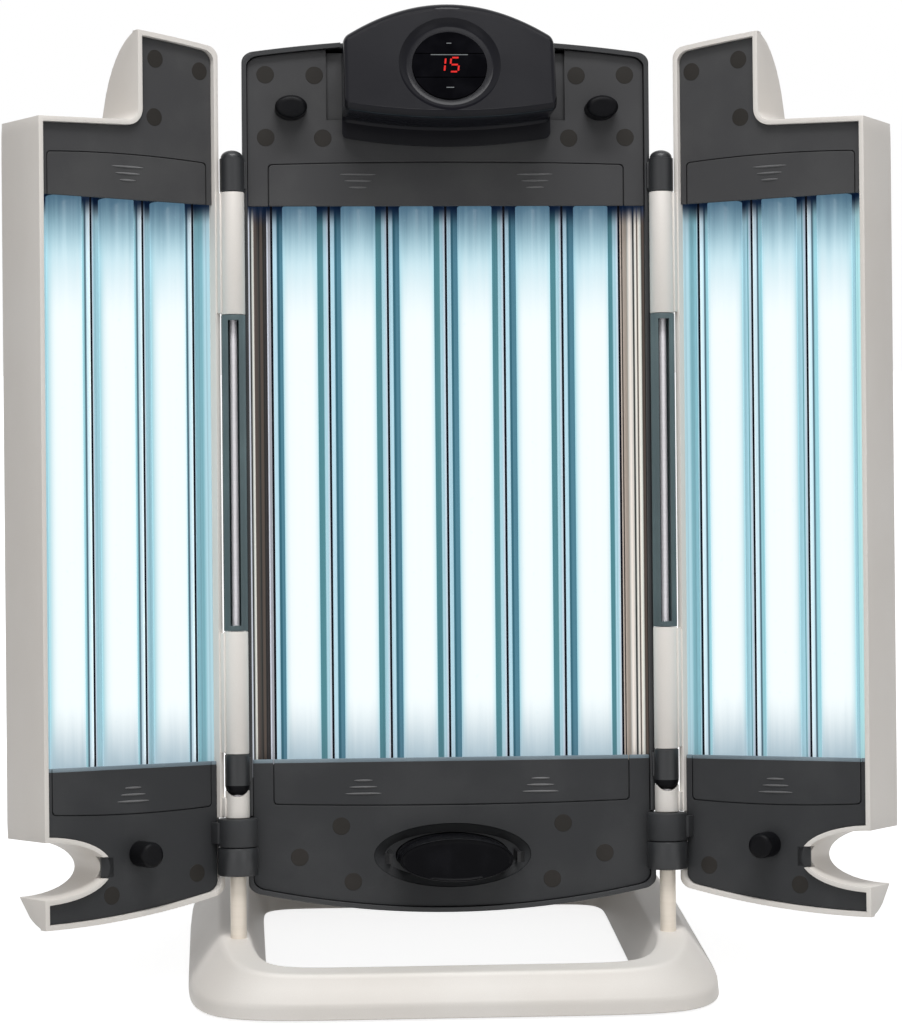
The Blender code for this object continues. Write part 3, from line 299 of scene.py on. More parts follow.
class Shade:
    """A material, or the world, under construction."""

    def __init__(self, name: str, store: bpy.types.bpy_prop_collection | None = None) -> None:
        """Start one with its plain shader.

        Args:
            name: Its name.
            store: Where it is kept, if not among the materials.
        """
        self.data = (bpy.data.materials if store is None else store).new(name)
        self.data.use_nodes = True
        self.tree = self.data.node_tree
        kinds = ("ShaderNodeBsdfPrincipled", "ShaderNodeBackground")
        self.shader = next(node for node in self.tree.nodes if node.bl_idname in kinds)

    def node(self, kind: str, settings: dict | None = None, inputs: dict | None = None) -> bpy.types.Node:
        """Add a node.

        Args:
            kind: The node's type.
            settings: Properties that are set first.
            inputs: Values or wires by socket name or index.

        Returns:
            The new node.
        """
        made = self.tree.nodes.new(kind)
        for key, value in (settings or {}).items():
            setattr(made, key, value)
        for key, value in (inputs or {}).items():
            named = [s for s in made.inputs if s.name == key and s.enabled]
            self.feed(made.inputs[key] if isinstance(key, int) else named[0], value)
        return made

    def wire(self, kind: str, settings: dict | None = None, inputs: dict | None = None, out: object = 0) -> Wire:
        """Add a node and return one of its outputs.

        Args:
            kind: The node's type.
            settings: Properties that are set first.
            inputs: Values or wires by socket name or index.
            out: Name or index of the output.

        Returns:
            The output as a wire.
        """
        outputs = self.node(kind, settings, inputs).outputs
        live = [s for s in outputs if s.enabled and s.name == out]
        return Wire(self, live[0] if live else outputs[out])

    def feed(self, socket: bpy.types.NodeSocket, value: object) -> None:
        """Set a socket to a number or colour, or link a wire to it."""
        if isinstance(value, Wire):
            self.tree.links.new(value.socket, socket)
        elif isinstance(value, tuple) and socket.type == "RGBA":
            socket.default_value = (*value, 1.0)
        else:
            socket.default_value = value

    def set(self, **values: object) -> "Shade":
        """Feed the plain shader; underscores stand for spaces."""
        for key, value in values.items():
            self.feed(self.shader.inputs[key.replace("_", " ")], value)
        return self

    def place(self) -> Wire:
        """Object coordinates."""
        return self.wire("ShaderNodeTexCoord", out="Object")

    def part(self, vector: Wire, axis: str) -> Wire:
        """One component of a vector."""
        return self.wire("ShaderNodeSeparateXYZ", inputs={0: vector}, out=axis)

    def painted(self, axis: str) -> Wire:
        """One component of the values painted on the piece's points."""
        return self.part(self.wire("ShaderNodeAttribute", {"attribute_name": "paint"}, out="Vector"), axis)

    def seen(self) -> Wire:
        """Return 1 for rays from the camera and for those that mirrors and glass send on, else 0."""
        path = self.node("ShaderNodeLightPath").outputs
        kinds = ("Camera", "Glossy", "Transmission")
        camera, glossy, through = (Wire(self, path[f"Is {kind} Ray"]) for kind in kinds)
        return camera.most(glossy).most(through)

    def noise(self, scale: float, detail: float = 2.0, vector: Wire | None = None) -> Wire:
        """Noise between 0 and 1, on the object's coordinates if no others are given."""
        inputs = {"Vector": vector or self.place(), "Scale": scale, "Detail": detail}
        return self.wire("ShaderNodeTexNoise", inputs=inputs)

    def streaks(self, across: float, along: float) -> Wire:
        """Noise that is drawn out along the leaning panels.

        Args:
            across: How fine it is across them.
            along: How fine it is along them.

        Returns:
            The noise.
        """
        upright = {"Vector": self.place(), "Rotation": (STANCE.recline, 0.0, 0.0)}
        drawn = {"Vector": self.wire("ShaderNodeMapping", inputs=upright), "Scale": (across, across, along)}
        return self.noise(1.0, 3.0, self.wire("ShaderNodeMapping", inputs=drawn))

    def bump(self, height: Wire, strength: float, distance: float) -> "Shade":
        """Feed the shader's normal with a bump."""
        inputs = {"Strength": strength, "Distance": distance, "Height": height}
        return self.set(Normal=self.wire("ShaderNodeBump", inputs=inputs, out="Normal"))


@dataclass(frozen=True)
class PearlPlastic:
    """Champagne pearl moulding with fine flake and a faint clear coat."""

    name: str = "champagne_pearl"
    light: Colour = (0.764, 0.732, 0.694)
    deep: Colour = (0.706, 0.666, 0.622)
    flake: float = 2600.0
    flake_share: float = 0.4
    cloud: float = 9.0
    tones: Point = (0.30, 0.72)
    roughness: float = 0.44
    worn: float = 0.10
    worn_scale: float = 60.0
    metal: float = 0.06
    shine: float = 0.30
    coat: float = 0.06
    coat_roughness: float = 0.30
    relief: Point = (0.04, 0.0002)

    def make(self) -> bpy.types.Material:
        """Return the material."""
        shade = Shade(self.name)
        flake = shade.noise(self.flake, 1.0)
        cloud = shade.noise(self.cloud, 3.0) * (1.0 - self.flake_share)
        tone = (cloud + flake * self.flake_share).ramp(*self.tones)
        worn = self.worn * shade.noise(self.worn_scale, 3.0)
        shade.set(Base_Color=tone.mix(self.deep, self.light), Roughness=self.roughness + worn)
        shade.set(Metallic=self.metal, Specular_IOR_Level=self.shine)
        shade.set(Coat_Weight=self.coat, Coat_Roughness=self.coat_roughness)
        return shade.bump(flake, *self.relief).data


@dataclass(frozen=True)
class MattPlastic:
    """Dark moulding with a spark-eroded grain and a little handling shine."""

    name: str
    light: Colour
    deep: Colour
    roughness: float = 0.52
    grain: float = 1500.0
    grain_strength: float = 0.18
    grain_depth: float = 0.00015
    grain_share: float = 0.45
    shine: float = 0.24
    rub: float = 14.0
    rub_span: Point = (0.35, 0.75)
    tones: Point = (0.25, 0.80)
    grain_dull: float = 0.10
    rub_polish: float = 0.08

    def make(self) -> bpy.types.Material:
        """Return the material."""
        shade = Shade(self.name)
        grain = shade.noise(self.grain, 2.0)
        rubbed = shade.noise(self.rub, 4.0).ramp(*self.rub_span)
        tone = (grain * self.grain_share + rubbed * (1.0 - self.grain_share)).ramp(*self.tones)
        shade.set(Base_Color=tone.mix(self.deep, self.light), Specular_IOR_Level=self.shine)
        shade.set(Roughness=self.roughness + self.grain_dull * grain - self.rub_polish * rubbed)
        return shade.bump(grain, self.grain_strength, self.grain_depth).data


@dataclass(frozen=True)
class GlossPlastic:
    """Polished black moulding with soft smears."""

    name: str
    colour: Colour = (0.003, 0.003, 0.004)
    roughness: float = 0.16
    shine: float = 0.0
    smear: float = 55.0
    smear_span: Point = (0.40, 0.80)
    smear_dull: float = 0.12
    smear_gain: float = 1.7
    smear_lift: float = 0.001

    def make(self) -> bpy.types.Material:
        """Return the material."""
        shade = Shade(self.name)
        smear = shade.noise(self.smear, 4.0).ramp(*self.smear_span)
        lifted = tuple(c * self.smear_gain + self.smear_lift for c in self.colour)
        shade.set(Base_Color=smear.mix(self.colour, lifted), Specular_IOR_Level=self.shine)
        return shade.set(Roughness=self.roughness + self.smear_dull * smear).data


@dataclass(frozen=True)
class LitTube:
    """Glowing phosphor tube: a white core, painted shade on its pale cyan sides, a painted shadow turning its
    upper end dark blue-grey under the cover, and greyer blue towards its lower end.

    Its points carry how far they face the front, and their distance from the upper and lower end.
    """

    name: str = "lit_tube"
    core: Colour = (0.91, 0.975, 0.985)
    # painted shade on the tube's sides
    limb: Colour = (0.36, 0.62, 0.68)
    # painted shadow of the cover on the tube's upper end, with the next colour
    shoulder: Colour = (0.430, 0.690, 0.780)
    upper: Colour = (0.070, 0.145, 0.215)
    lower: Colour = (0.36, 0.48, 0.55)
    glass: Colour = (0.03, 0.04, 0.05)
    roughness: float = 0.20
    shine: float = 0.15
    streaks: Point = (240.0, 9.0)
    top_streak: float = 0.016
    low_streak: float = 0.012
    limb_span: Point = (0.0, 0.84)
    shoulder_span: Point = (0.022, 0.105)
    upper_span: Point = (0.006, 0.058)
    lower_span: Point = (0.004, 0.062)
    dust: float = 260.0
    dust_span: Point = (0.62, 0.80)
    dust_tint: float = 0.10
    dust_dull: float = 0.15

    def make(self) -> bpy.types.Material:
        """Return the material."""
        shade = Shade(self.name)
        streak = shade.streaks(*self.streaks) - 0.5
        dust = shade.noise(self.dust, 4.0).ramp(*self.dust_span)
        # painted shade: white core where the tube faces the front, fading to the limb shade at its sides
        tone = shade.painted("X").ramp(*self.limb_span).mix(self.limb, self.core)
        near_top = shade.painted("Y") + self.top_streak * streak
        near_low = shade.painted("Z") + self.low_streak * streak
        # painted shadow: the upper end turns blue-grey, then dark, under the cover's edge
        tone = near_top.ramp(*self.shoulder_span).mix(self.shoulder, tone)
        tone = near_top.ramp(*self.upper_span).mix(self.upper, tone)
        tone = near_low.ramp(*self.lower_span).mix(self.lower, tone)
        tone = (self.dust_tint * dust).mix(tone, self.limb)
        shade.set(Base_Color=self.glass, Specular_IOR_Level=self.shine)
        shade.set(Roughness=self.roughness + self.dust_dull * dust)
        return shade.set(Emission_Color=tone, Emission_Strength=1.0).data


@dataclass(frozen=True)
class MirrorSheet:
    """Rolled reflector sheet with the lit tubes' reflections painted on it in bands along its folds.

    Its points carry their place across the bands in millimetres, their drop below the lamps' top and a
    fold mask.
    """

    name: str
    bands: tuple[tuple[float, Colour], ...]
    # painted shade: near-black line along each fold
    crease: Colour = (0.006, 0.006, 0.009)
    shadow: Colour = (0.008, 0.022, 0.060)
    soft: float = 0.40
    # painted glow: the sheet also shines faintly in its own band colours
    glow: float = 0.30
    streaks: Point = (520.0, 1.2)
    streak_span: Point = (0.45, 0.75)
    streak_tint: float = 0.22
    streak_dull: float = 0.12
    top_shadow: Point = (0.010, 0.026)
    fold_span: Point = (0.30, 0.60)
    metal: float = 0.45
    roughness: float = 0.26
    relief: Point = (0.06, 0.0002)

    def make(self) -> bpy.types.Material:
        """Return the material."""
        shade = Shade(self.name)
        across, streak = shade.painted("X"), shade.streaks(*self.streaks)
        # painted reflections: the band colours across the sheet stand for the lit tubes mirrored in its folds
        tone = self.bands[0][1]
        for start, colour in self.bands[1:]:
            tone = across.ramp(start - self.soft, start + self.soft).mix(tone, colour)
        tone = (self.streak_tint * streak.ramp(*self.streak_span)).mix(tone, self.shadow)
        # painted shadow: the sheet turns to the shadow colour towards the lamps' top, under the cover
        tone = shade.painted("Y").ramp(*self.top_shadow).mix(self.shadow, tone)
        fold = shade.painted("Z").ramp(*self.fold_span)
        # painted shade: the fold mask darkens each fold to a near-black line
        tone = fold.mix(tone, self.crease)
        shade.set(Base_Color=tone, Metallic=self.metal + (1.0 - self.metal) * fold)
        shade.set(Roughness=self.roughness + self.streak_dull * streak)
        # painted glow: the sheet gives off light in its band colours
        shade.set(Emission_Color=tone, Emission_Strength=self.glow)
        return shade.bump(streak, *self.relief).data


@dataclass(frozen=True)
class TurnedMetal:
    """Plated, drawn or painted metal with fine lines round its axis."""

    name: str
    light: Colour = (0.74, 0.71, 0.68)
    deep: Colour = (0.50, 0.47, 0.44)
    roughness: float = 0.24
    metal: float = 1.0
    lines: Colour = (30.0, 30.0, 900.0)
    line_span: Point = (0.3, 0.7)
    line_dull: float = 0.10
    relief: Point = (0.05, 0.0001)

    def make(self) -> bpy.types.Material:
        """Return the material."""
        shade = Shade(self.name)
        drawn = {"Vector": shade.place(), "Scale": self.lines}
        line = shade.noise(1.0, 2.0, shade.wire("ShaderNodeMapping", inputs=drawn))
        shade.set(Base_Color=line.ramp(*self.line_span).mix(self.deep, self.light), Metallic=self.metal)
        shade.set(Roughness=self.roughness + self.line_dull * line)
        return shade.bump(line, *self.relief).data


@dataclass(frozen=True)
class Glow:
    """Evenly glowing mark with a slight mottle: the LED's own light, and painted glow on the printed key and lens
    marks.
    """

    name: str
    colour: Colour
    strength: float
    unlit: Colour = (0.02, 0.02, 0.02)
    mottle: float = 900.0
    mottle_span: Point = (0.3, 0.7)
    dim: float = 0.8
    roughness: float = 0.4

    def make(self) -> bpy.types.Material:
        """Return the material."""
        shade = Shade(self.name)
        dim = tuple(c * self.dim for c in self.colour)
        tone = shade.noise(self.mottle, 1.0).ramp(*self.mottle_span).mix(dim, self.colour)
        shade.set(Base_Color=self.unlit, Roughness=self.roughness, Specular_IOR_Level=0.0)
        return shade.set(Emission_Color=tone, Emission_Strength=self.strength).data


class Finishes:
    """All finishes of the tanner, made once."""

    # colours of the reflectors' painted reflections of the lit tubes
    TEAL: Colour = (0.105, 0.240, 0.265)
    PALE: Colour = (0.500, 0.650, 0.700)
    LILAC: Colour = (0.610, 0.640, 0.700)
    NAVY: Colour = (0.040, 0.125, 0.165)
    BEIGE: Colour = (0.640, 0.580, 0.530)
    UMBER: Colour = (0.016, 0.011, 0.009)
    BROWN: Colour = (0.060, 0.043, 0.034)
    CREAM: Colour = (0.760, 0.710, 0.640)
    HAZE: Colour = (0.56, 0.69, 0.76)
    DEEP_TEAL: Colour = (0.11, 0.23, 0.29)
    TAUPE: Colour = (0.36, 0.31, 0.27)
    FROST: Colour = (0.74, 0.82, 0.86)
    INK: Colour = (0.07, 0.11, 0.14)
    AQUA: Colour = (0.42, 0.65, 0.69)
    DUSK: Colour = (0.26, 0.36, 0.43)
    SILVER: Colour = (0.78, 0.84, 0.86)
    SEA: Colour = (0.26, 0.46, 0.51)
    MINT: Colour = (0.58, 0.79, 0.77)
    # painted reflections: bands in millimetres from a fold, then the left side strip from 30 and the right one
    # from 60, outwards
    CENTRE_BANDS = (
        (-30.0, TEAL), (-4.4, PALE), (-2.1, LILAC), (0.0, HAZE), (4.0, NAVY), (6.0, DEEP_TEAL), (25.0, LILAC),
        (33.6, UMBER), (36.8, BROWN), (39.2, UMBER), (40.0, BROWN), (43.6, CREAM), (45.2, UMBER), (46.6, LILAC),
        (55.0, BEIGE), (61.8, UMBER), (62.9, TAUPE), (66.2, BEIGE), (69.6, UMBER), (70.8, CREAM),
        (72.2, BROWN), (73.4, CREAM), (75.4, BROWN),
    )
    WING_BANDS = (
        (-30.0, PALE), (-7.6, TEAL), (-5.6, PALE), (-3.6, LILAC), (0.0, FROST), (3.0, INK), (3.9, AQUA),
        (25.0, DUSK), (31.7, SILVER), (32.6, SEA), (35.2, PALE), (55.0, MINT),
    )

    def __init__(self) -> None:
        """Make every material."""
        self.pearl = PearlPlastic().make()
        self.liner = MattPlastic("charcoal_liner", (0.058, 0.058, 0.059), (0.045, 0.045, 0.047), 0.54).make()
        # painted shade: a darker copy of the liner finish for the lower liners and covers, which get less light
        self.low_liner = MattPlastic("low_liner", (0.037, 0.038, 0.040), (0.026, 0.027, 0.029), 0.50).make()
        self.tray = MattPlastic("charcoal_tray", (0.034, 0.035, 0.037), (0.024, 0.025, 0.027), 0.32,
                                grain_strength=0.10, shine=0.36).make()
        self.bowl = MattPlastic("bowl_black", (0.022, 0.022, 0.023), (0.014, 0.014, 0.015), 0.36).make()
        # painted lamplight: bluish-grey finish for the lips along the lower window edge, lit as if by the tubes
        self.lit_edge = MattPlastic("window_edge", (0.230, 0.290, 0.330), (0.170, 0.220, 0.255), 0.34).make()
        # painted highlight: the grip ribs get a paler finish that stands for light on their tops
        self.rib = MattPlastic("rib_worn", (0.170, 0.170, 0.172), (0.120, 0.120, 0.122), 0.40).make()
        self.slate = MattPlastic("slate_sleeve", (0.108, 0.150, 0.158), (0.084, 0.116, 0.124), 0.38).make()
        self.pod = MattPlastic("pod_satin", (0.012, 0.012, 0.015), (0.008, 0.008, 0.011), 0.17, 1900.0,
                               grain_strength=0.03, shine=0.10).make()
        self.gloss = GlossPlastic("gloss_black").make()
        self.button = GlossPlastic("button_black", roughness=0.20, shine=0.05).make()
        self.rubber = MattPlastic("buffer_rubber", (0.008, 0.008, 0.009), (0.004, 0.004, 0.005), 0.34, 900.0,
                                  grain_strength=0.10, shine=0.06).make()
        self.plug = MattPlastic("screw_plug", (0.020, 0.017, 0.015), (0.014, 0.012, 0.010), 0.58).make()
        self.tube = LitTube().make()
        self.cap = TurnedMetal("tube_cap").make()
        self.centre_sheet = MirrorSheet("reflector_centre", self.CENTRE_BANDS).make()
        self.wing_sheet = MirrorSheet("reflector_wing", self.WING_BANDS).make()
        # painted light: the posts get a much paler tone than their beige-grey, standing in for light in the
        # panels' shadow
        self.post = TurnedMetal("post_satin", (0.84, 0.76, 0.66), (0.81, 0.73, 0.63), 0.40, 0.10).make()
        self.rod = TurnedMetal("rod_plated", (0.90, 0.87, 0.90), (0.86, 0.83, 0.86), 0.34, 0.15).make()
        self.holder = MattPlastic("holder_white", (0.72, 0.72, 0.70), (0.62, 0.62, 0.60), 0.45, 700.0, 0.10).make()
        self.board = MattPlastic("board_green", (0.035, 0.17, 0.08), (0.020, 0.11, 0.05), 0.50, 800.0, 0.20).make()
        self.steel = TurnedMetal("ballast_steel", (0.60, 0.58, 0.55), (0.44, 0.42, 0.40), 0.36).make()
        self.led = Glow("led_red", (1.0, 0.02, 0.015), 0.9).make()
        # painted glow: the key and lens marks shine though no lamp lights them
        self.mark = Glow("mark_grey", (0.42, 0.45, 0.46), 0.45).make()

    def plate(self, end: End) -> bpy.types.Material:
        """Finish of the liners and covers at one end of the lamps; the lower end's is the darker copy, painted
        shade.
        """
        return self.liner if end is End.TOP else self.low_liner


class Mesh:
    """Mesh-making steps on a bmesh, in the frame of a panel or wing."""

    def __init__(self) -> None:
        """Start with nothing."""
        self.bm = bmesh.new()

    def absorb(self, other: "Mesh", place: Matrix | None = None, index: int | None = None) -> "Mesh":
        """Take in another mesh.

        Args:
            other: The mesh, which is used up.
            place: Where it goes.
            index: The material slot of its faces, if it changes.

        Returns:
            This mesh.
        """
        if place is not None:
            other.moved(place)
        if index is not None:
            for face in other.bm.faces:
                face.material_index = index
        store = bpy.data.meshes.new("store")
        other.bm.to_mesh(store)
        other.bm.free()
        self.bm.from_mesh(store)
        bpy.data.meshes.remove(store)
        return self

    def moved(self, place: Matrix) -> "Mesh":
        """Put a place in the mesh, and keep its faces outwards."""
        bmesh.ops.transform(self.bm, matrix=place, verts=self.bm.verts[:])
        if place.determinant() < 0.0:
            bmesh.ops.reverse_faces(self.bm, faces=self.bm.faces[:])
        return self

    def merged(self) -> "Mesh":
        """Merge doubles and turn the faces outwards."""
        bmesh.ops.remove_doubles(self.bm, verts=self.bm.verts[:], dist=SAME)
        bmesh.ops.dissolve_degenerate(self.bm, edges=self.bm.edges[:], dist=SAME)
        return self.outward()

    def outward(self) -> "Mesh":
        """Turn the faces outwards."""
        bmesh.ops.recalc_face_normals(self.bm, faces=self.bm.faces[:])
        return self

    def grid(self, rows: Sequence[Sequence[Spot]]) -> "Mesh":
        """Shape a grid so that its rows follow the given rows of points.

        Args:
            rows: Rows of equal length.

        Returns:
            This mesh.
        """
        across, along = len(rows[0]) - 1, len(rows) - 1
        made = bmesh.ops.create_grid(self.bm, x_segments=across, y_segments=along, size=1.0)
        for vert in made["verts"]:
            i = round((vert.co.x + 1.0) / 2.0 * across)
            j = round((vert.co.y + 1.0) / 2.0 * along)
            vert.co = rows[j][i]
        return self.merged()

    def lathe(self, profile: Sequence[Point], steps: int = 48) -> "Mesh":
        """Spin points round Z into a closed form.

        Args:
            profile: Points as (radius, height).
            steps: Steps of the whole turn.

        Returns:
            This mesh.
        """
        verts = [self.bm.verts.new((r, 0.0, z)) for r, z in profile]
        edges = [self.bm.edges.new(pair) for pair in zip(verts, verts[1:])]
        bmesh.ops.spin(self.bm, geom=verts + edges, cent=(0.0, 0.0, 0.0), axis=(0.0, 0.0, 1.0),
                       angle=math.tau, steps=steps, use_merge=True)
        return self.merged()

    def drum(self, radius: float, low: float, high: float) -> "Mesh":
        """Turn a plain closed drum, for a cut."""
        return self.lathe([(0.0, low), (radius, low), (radius, high), (0.0, high)], 48)

    def plate(self, outline: Sequence[Point], front: float, back: float) -> "Mesh":
        """Extrude an (x, z) outline from one depth to another.

        Args:
            outline: The outline's points; doubles are passed over.
            front: Depth of its front face.
            back: Depth of its back face.

        Returns:
            This mesh.
        """
        clean = [p for i, p in enumerate(outline) if math.dist(p, outline[i - 1]) > 20 * SAME]
        verts = [self.bm.verts.new((x, front, z)) for x, z in clean]
        edges = [self.bm.edges.new(pair) for pair in zip(verts, [*verts[1:], verts[0]])]
        face = bmesh.ops.edgeloop_fill(self.bm, edges=edges)["faces"][0]
        far = bmesh.ops.extrude_face_region(self.bm, geom=[face], use_keep_orig=True)["geom"]
        far = [g for g in far if isinstance(g, bmesh.types.BMVert)]
        bmesh.ops.translate(self.bm, verts=far, vec=(0.0, back - front, 0.0))
        return self.outward()

    def loft(self, rings: Sequence[Sequence[Spot]]) -> "Mesh":
        """Close a stack of rings into a solid.

        Args:
            rings: Rings of equal length.

        Returns:
            This mesh.
        """
        self.grid([[*ring, ring[0]] for ring in rings])
        bmesh.ops.holes_fill(self.bm, edges=self.bm.edges[:], sides=0)
        return self.outward()

    def tube(self, rings: Sequence[Sequence[Spot]]) -> "Mesh":
        """Close a stack of rings on itself, the last one to the first."""
        return self.grid([[*ring, ring[0]] for ring in [*rings, rings[0]]])

    def bead(self, size: Spot, centre: Spot) -> "Mesh":
        """Add an ellipsoid.

        Args:
            size: Half its width, depth and height.
            centre: Its middle.

        Returns:
            This mesh.
        """
        place = Matrix.Translation(centre) @ Matrix.Diagonal((*size, 1.0))
        bmesh.ops.create_uvsphere(self.bm, u_segments=20, v_segments=10, radius=1.0, matrix=place)
        return self

    def block(self, low: Spot, high: Spot, soft: float = 0.0) -> "Mesh":
        """Add a box with softened edges.

        Args:
            low: Its lowest corner.
            high: Its highest corner.
            soft: Rounding of its edges.

        Returns:
            This mesh.
        """
        middle = [(a + b) / 2 for a, b in zip(low, high)]
        size = [b - a for a, b in zip(low, high)]
        place = Matrix.Translation(middle) @ Matrix.Diagonal((*size, 1.0))
        made = bmesh.ops.create_cube(self.bm, size=1.0, matrix=place)
        if soft > 0.0:
            self.bevel(list(dict.fromkeys(e for v in made["verts"] for e in v.link_edges)), soft)
        return self

    def bevel(self, edges: list, width: float, segments: int = 2) -> "Mesh":
        """Round some edges."""
        bmesh.ops.bevel(self.bm, geom=edges, offset=width, segments=segments, profile=0.5, affect="EDGES",
                        clamp_overlap=True, material=-1)
        return self

    def soften(self, width: float, angle: float = 50.0) -> "Mesh":
        """Round every edge that is sharper than an angle in degrees."""
        sharp = [e for e in self.bm.edges if e.is_manifold and e.calc_face_angle(0.0) > math.radians(angle)]
        return self.bevel(sharp, width)

    def carve(self, cutters: Sequence["Mesh"]) -> "Mesh":
        """Cut other closed meshes away.

        Args:
            cutters: The meshes, which are used up.

        Returns:
            This mesh.
        """
        target = self.temporary()
        helpers = [cutter.temporary() for cutter in cutters]
        for helper in helpers:
            step = target.modifiers.new("cut", "BOOLEAN")
            step.operation, step.solver, step.object = "DIFFERENCE", "EXACT", helper
        return self.baked(target, helpers)

    def walled(self, thickness: float) -> "Mesh":
        """Give an open skin a wall on its inner side.

        Args:
            thickness: The wall's thickness.

        Returns:
            This mesh.
        """
        target = self.temporary()
        step = target.modifiers.new("wall", "SOLIDIFY")
        step.thickness, step.offset, step.use_even_offset = thickness, -1.0, True
        return self.baked(target, [])

    def temporary(self) -> bpy.types.Object:
        """Hand the mesh to a helper object and return that."""
        data = bpy.data.meshes.new("helper")
        self.bm.to_mesh(data)
        self.bm.free()
        made = bpy.data.objects.new("helper", data)
        bpy.context.scene.collection.objects.link(made)
        return made

    def baked(self, target: bpy.types.Object, helpers: Sequence[bpy.types.Object]) -> "Mesh":
        """Take a helper's finished mesh back and remove the helpers.

        Args:
            target: The helper with the modifiers.
            helpers: The other helpers.

        Returns:
            This mesh.
        """
        graph = bpy.context.evaluated_depsgraph_get()
        data = bpy.data.meshes.new_from_object(target.evaluated_get(graph))
        self.bm = bmesh.new()
        self.bm.from_mesh(data)
        bpy.data.meshes.remove(data)
        for spent in [target, *helpers]:
            mesh = spent.data
            bpy.data.objects.remove(spent)
            bpy.data.meshes.remove(mesh)
        return self


def turns(steps: int, start: float = 0.0, end: float = 90.0) -> list[float]:
    """Equal angles from start to end, given in degrees, in radians."""
    return [math.radians(start + (end - start) * i / steps) for i in range(steps + 1)]


def arc(centre: Point, a: float, b: float, start: float, end: float, steps: int) -> list[Point]:
    """Points on an elliptic arc with radii a and b, angles in degrees."""
    return [(centre[0] + a * math.cos(t), centre[1] + b * math.sin(t)) for t in turns(steps, start, end)]


def ellipse(a: float, b: float, x: float, z: float, count: int = 96) -> list[Point]:
    """Points of a whole ellipse."""
    return arc((x, z), a, b, 0.0, 360.0, count)[:-1]


@dataclass(frozen=True)
class Bench:
    """Where a sub-assembly is made: its frame, the body it rides on and the finishes."""

    frame: dict
    looks: Finishes
    place: Matrix
    body: str = "stand"
    big_face: int = 8
    level: float = 1e-3
    plug_sink: float = 0.0002
    plug: tuple[Point, ...] = (
        (0.0, -0.0012), (0.0067, -0.0012), (0.0067, -0.0003), (0.0064, 0.0), (0.0030, 0.00012), (0.0, 0.00015),
    )
    buffer_round: float = 0.004

    def piece(
        self, mesh: Mesh, name: str, slot: str, *finishes: bpy.types.Material, body: str | None = None,
        new: bool = False, angle: float = 32.0, paint: Callable[[Vector], Colour] | None = None,
    ) -> None:
        """Make a finished piece.

        Args:
            mesh: Its mesh in the bench's frame.
            name: The piece's name.
            slot: The record's material slot; not used.
            finishes: Its materials by index.
            body: The CAD body that it rides on, if not the bench's.
            new: Whether it is trim, and not the stand-in for the CAD node of the same name.
            angle: Edges sharper than this stay sharp in the shading.
            paint: Gives the values that a point carries for its material.
        """
        bm = mesh.bm
        if paint is not None:
            layer = bm.verts.layers.float_vector.new("paint")
            for vert in bm.verts:
                vert[layer] = paint(vert.co)
        self.shade_smooth(mesh.moved(self.place), math.radians(angle))
        data = bpy.data.meshes.new(name)
        bm.to_mesh(data)
        bm.free()
        for finish in finishes:
            data.materials.append(finish)
        made = bpy.data.objects.new(name, data)
        bpy.context.scene.collection.objects.link(made)
        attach(made, body or self.body)
        if not new:
            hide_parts(name)
        LOG.info("%s on %s: %d faces", name, body or self.body, len(data.polygons))

    def shade_smooth(self, mesh: Mesh, limit: float) -> None:
        """Shade a mesh smooth, apart from its sharp edges, its big faces and what lies level beside those.

        Args:
            mesh: The mesh.
            limit: Edges sharper than this angle stay sharp.
        """
        flat = {f for f in mesh.bm.faces if len(f.verts) > self.big_face}
        for edge in mesh.bm.edges:
            edge.smooth = edge.calc_face_angle(0.0) < limit
        for face in mesh.bm.faces:
            level = (e for e in face.edges if e.calc_face_angle(1.0) < self.level)
            face.smooth = face not in flat and all(flat.isdisjoint(e.link_faces) for e in level)

    def dress(self, node: str, finish: bpy.types.Material) -> None:
        """Give a CAD node that stays a better material.

        Args:
            node: The node's name.
            finish: The material.
        """
        slots = self.frame["nodes"][node].data.materials
        slots.clear()
        slots.append(finish)
        LOG.info("%s dressed", node)

    def plugs(self, name: str, spots: Sequence[Point]) -> None:
        """Make the flush screw plugs of a liner as one piece.

        Args:
            name: The piece's name.
            spots: The plugs' places.
        """
        mesh = Mesh()
        for x, z in spots:
            at = Matrix.Translation((x, SIZE.face - self.plug_sink, z)) @ TO_FRONT
            mesh.absorb(Mesh().lathe(self.plug, 32), at)
        self.piece(mesh, name, "dark", self.looks.plug, new=True, angle=40.0)

    def buffer(self, name: str, a: float, b: float, x: float, z: float) -> None:
        """Make a rubber buffer with a rounded end.

        Args:
            name: The piece's name.
            a: Half its width.
            b: Half its height.
            x: Its place across.
            z: Its height.
        """
        soft, front = self.buffer_round, SIZE.fit - SIZE.face
        steps = [(SIZE.face - self.plug_sink, 0.0), (front + soft, 0.0)]
        steps += [(front + soft * (1.0 - math.sin(t)), soft * (1.0 - math.cos(t))) for t in turns(6)[1:]]
        rings = [[(u, y, v) for u, v in ellipse(a - d, b - d, x, z, 48)] for y, d in steps]
        self.piece(Mesh().loft(rings), name, "rubber", self.looks.rubber, angle=40.0)


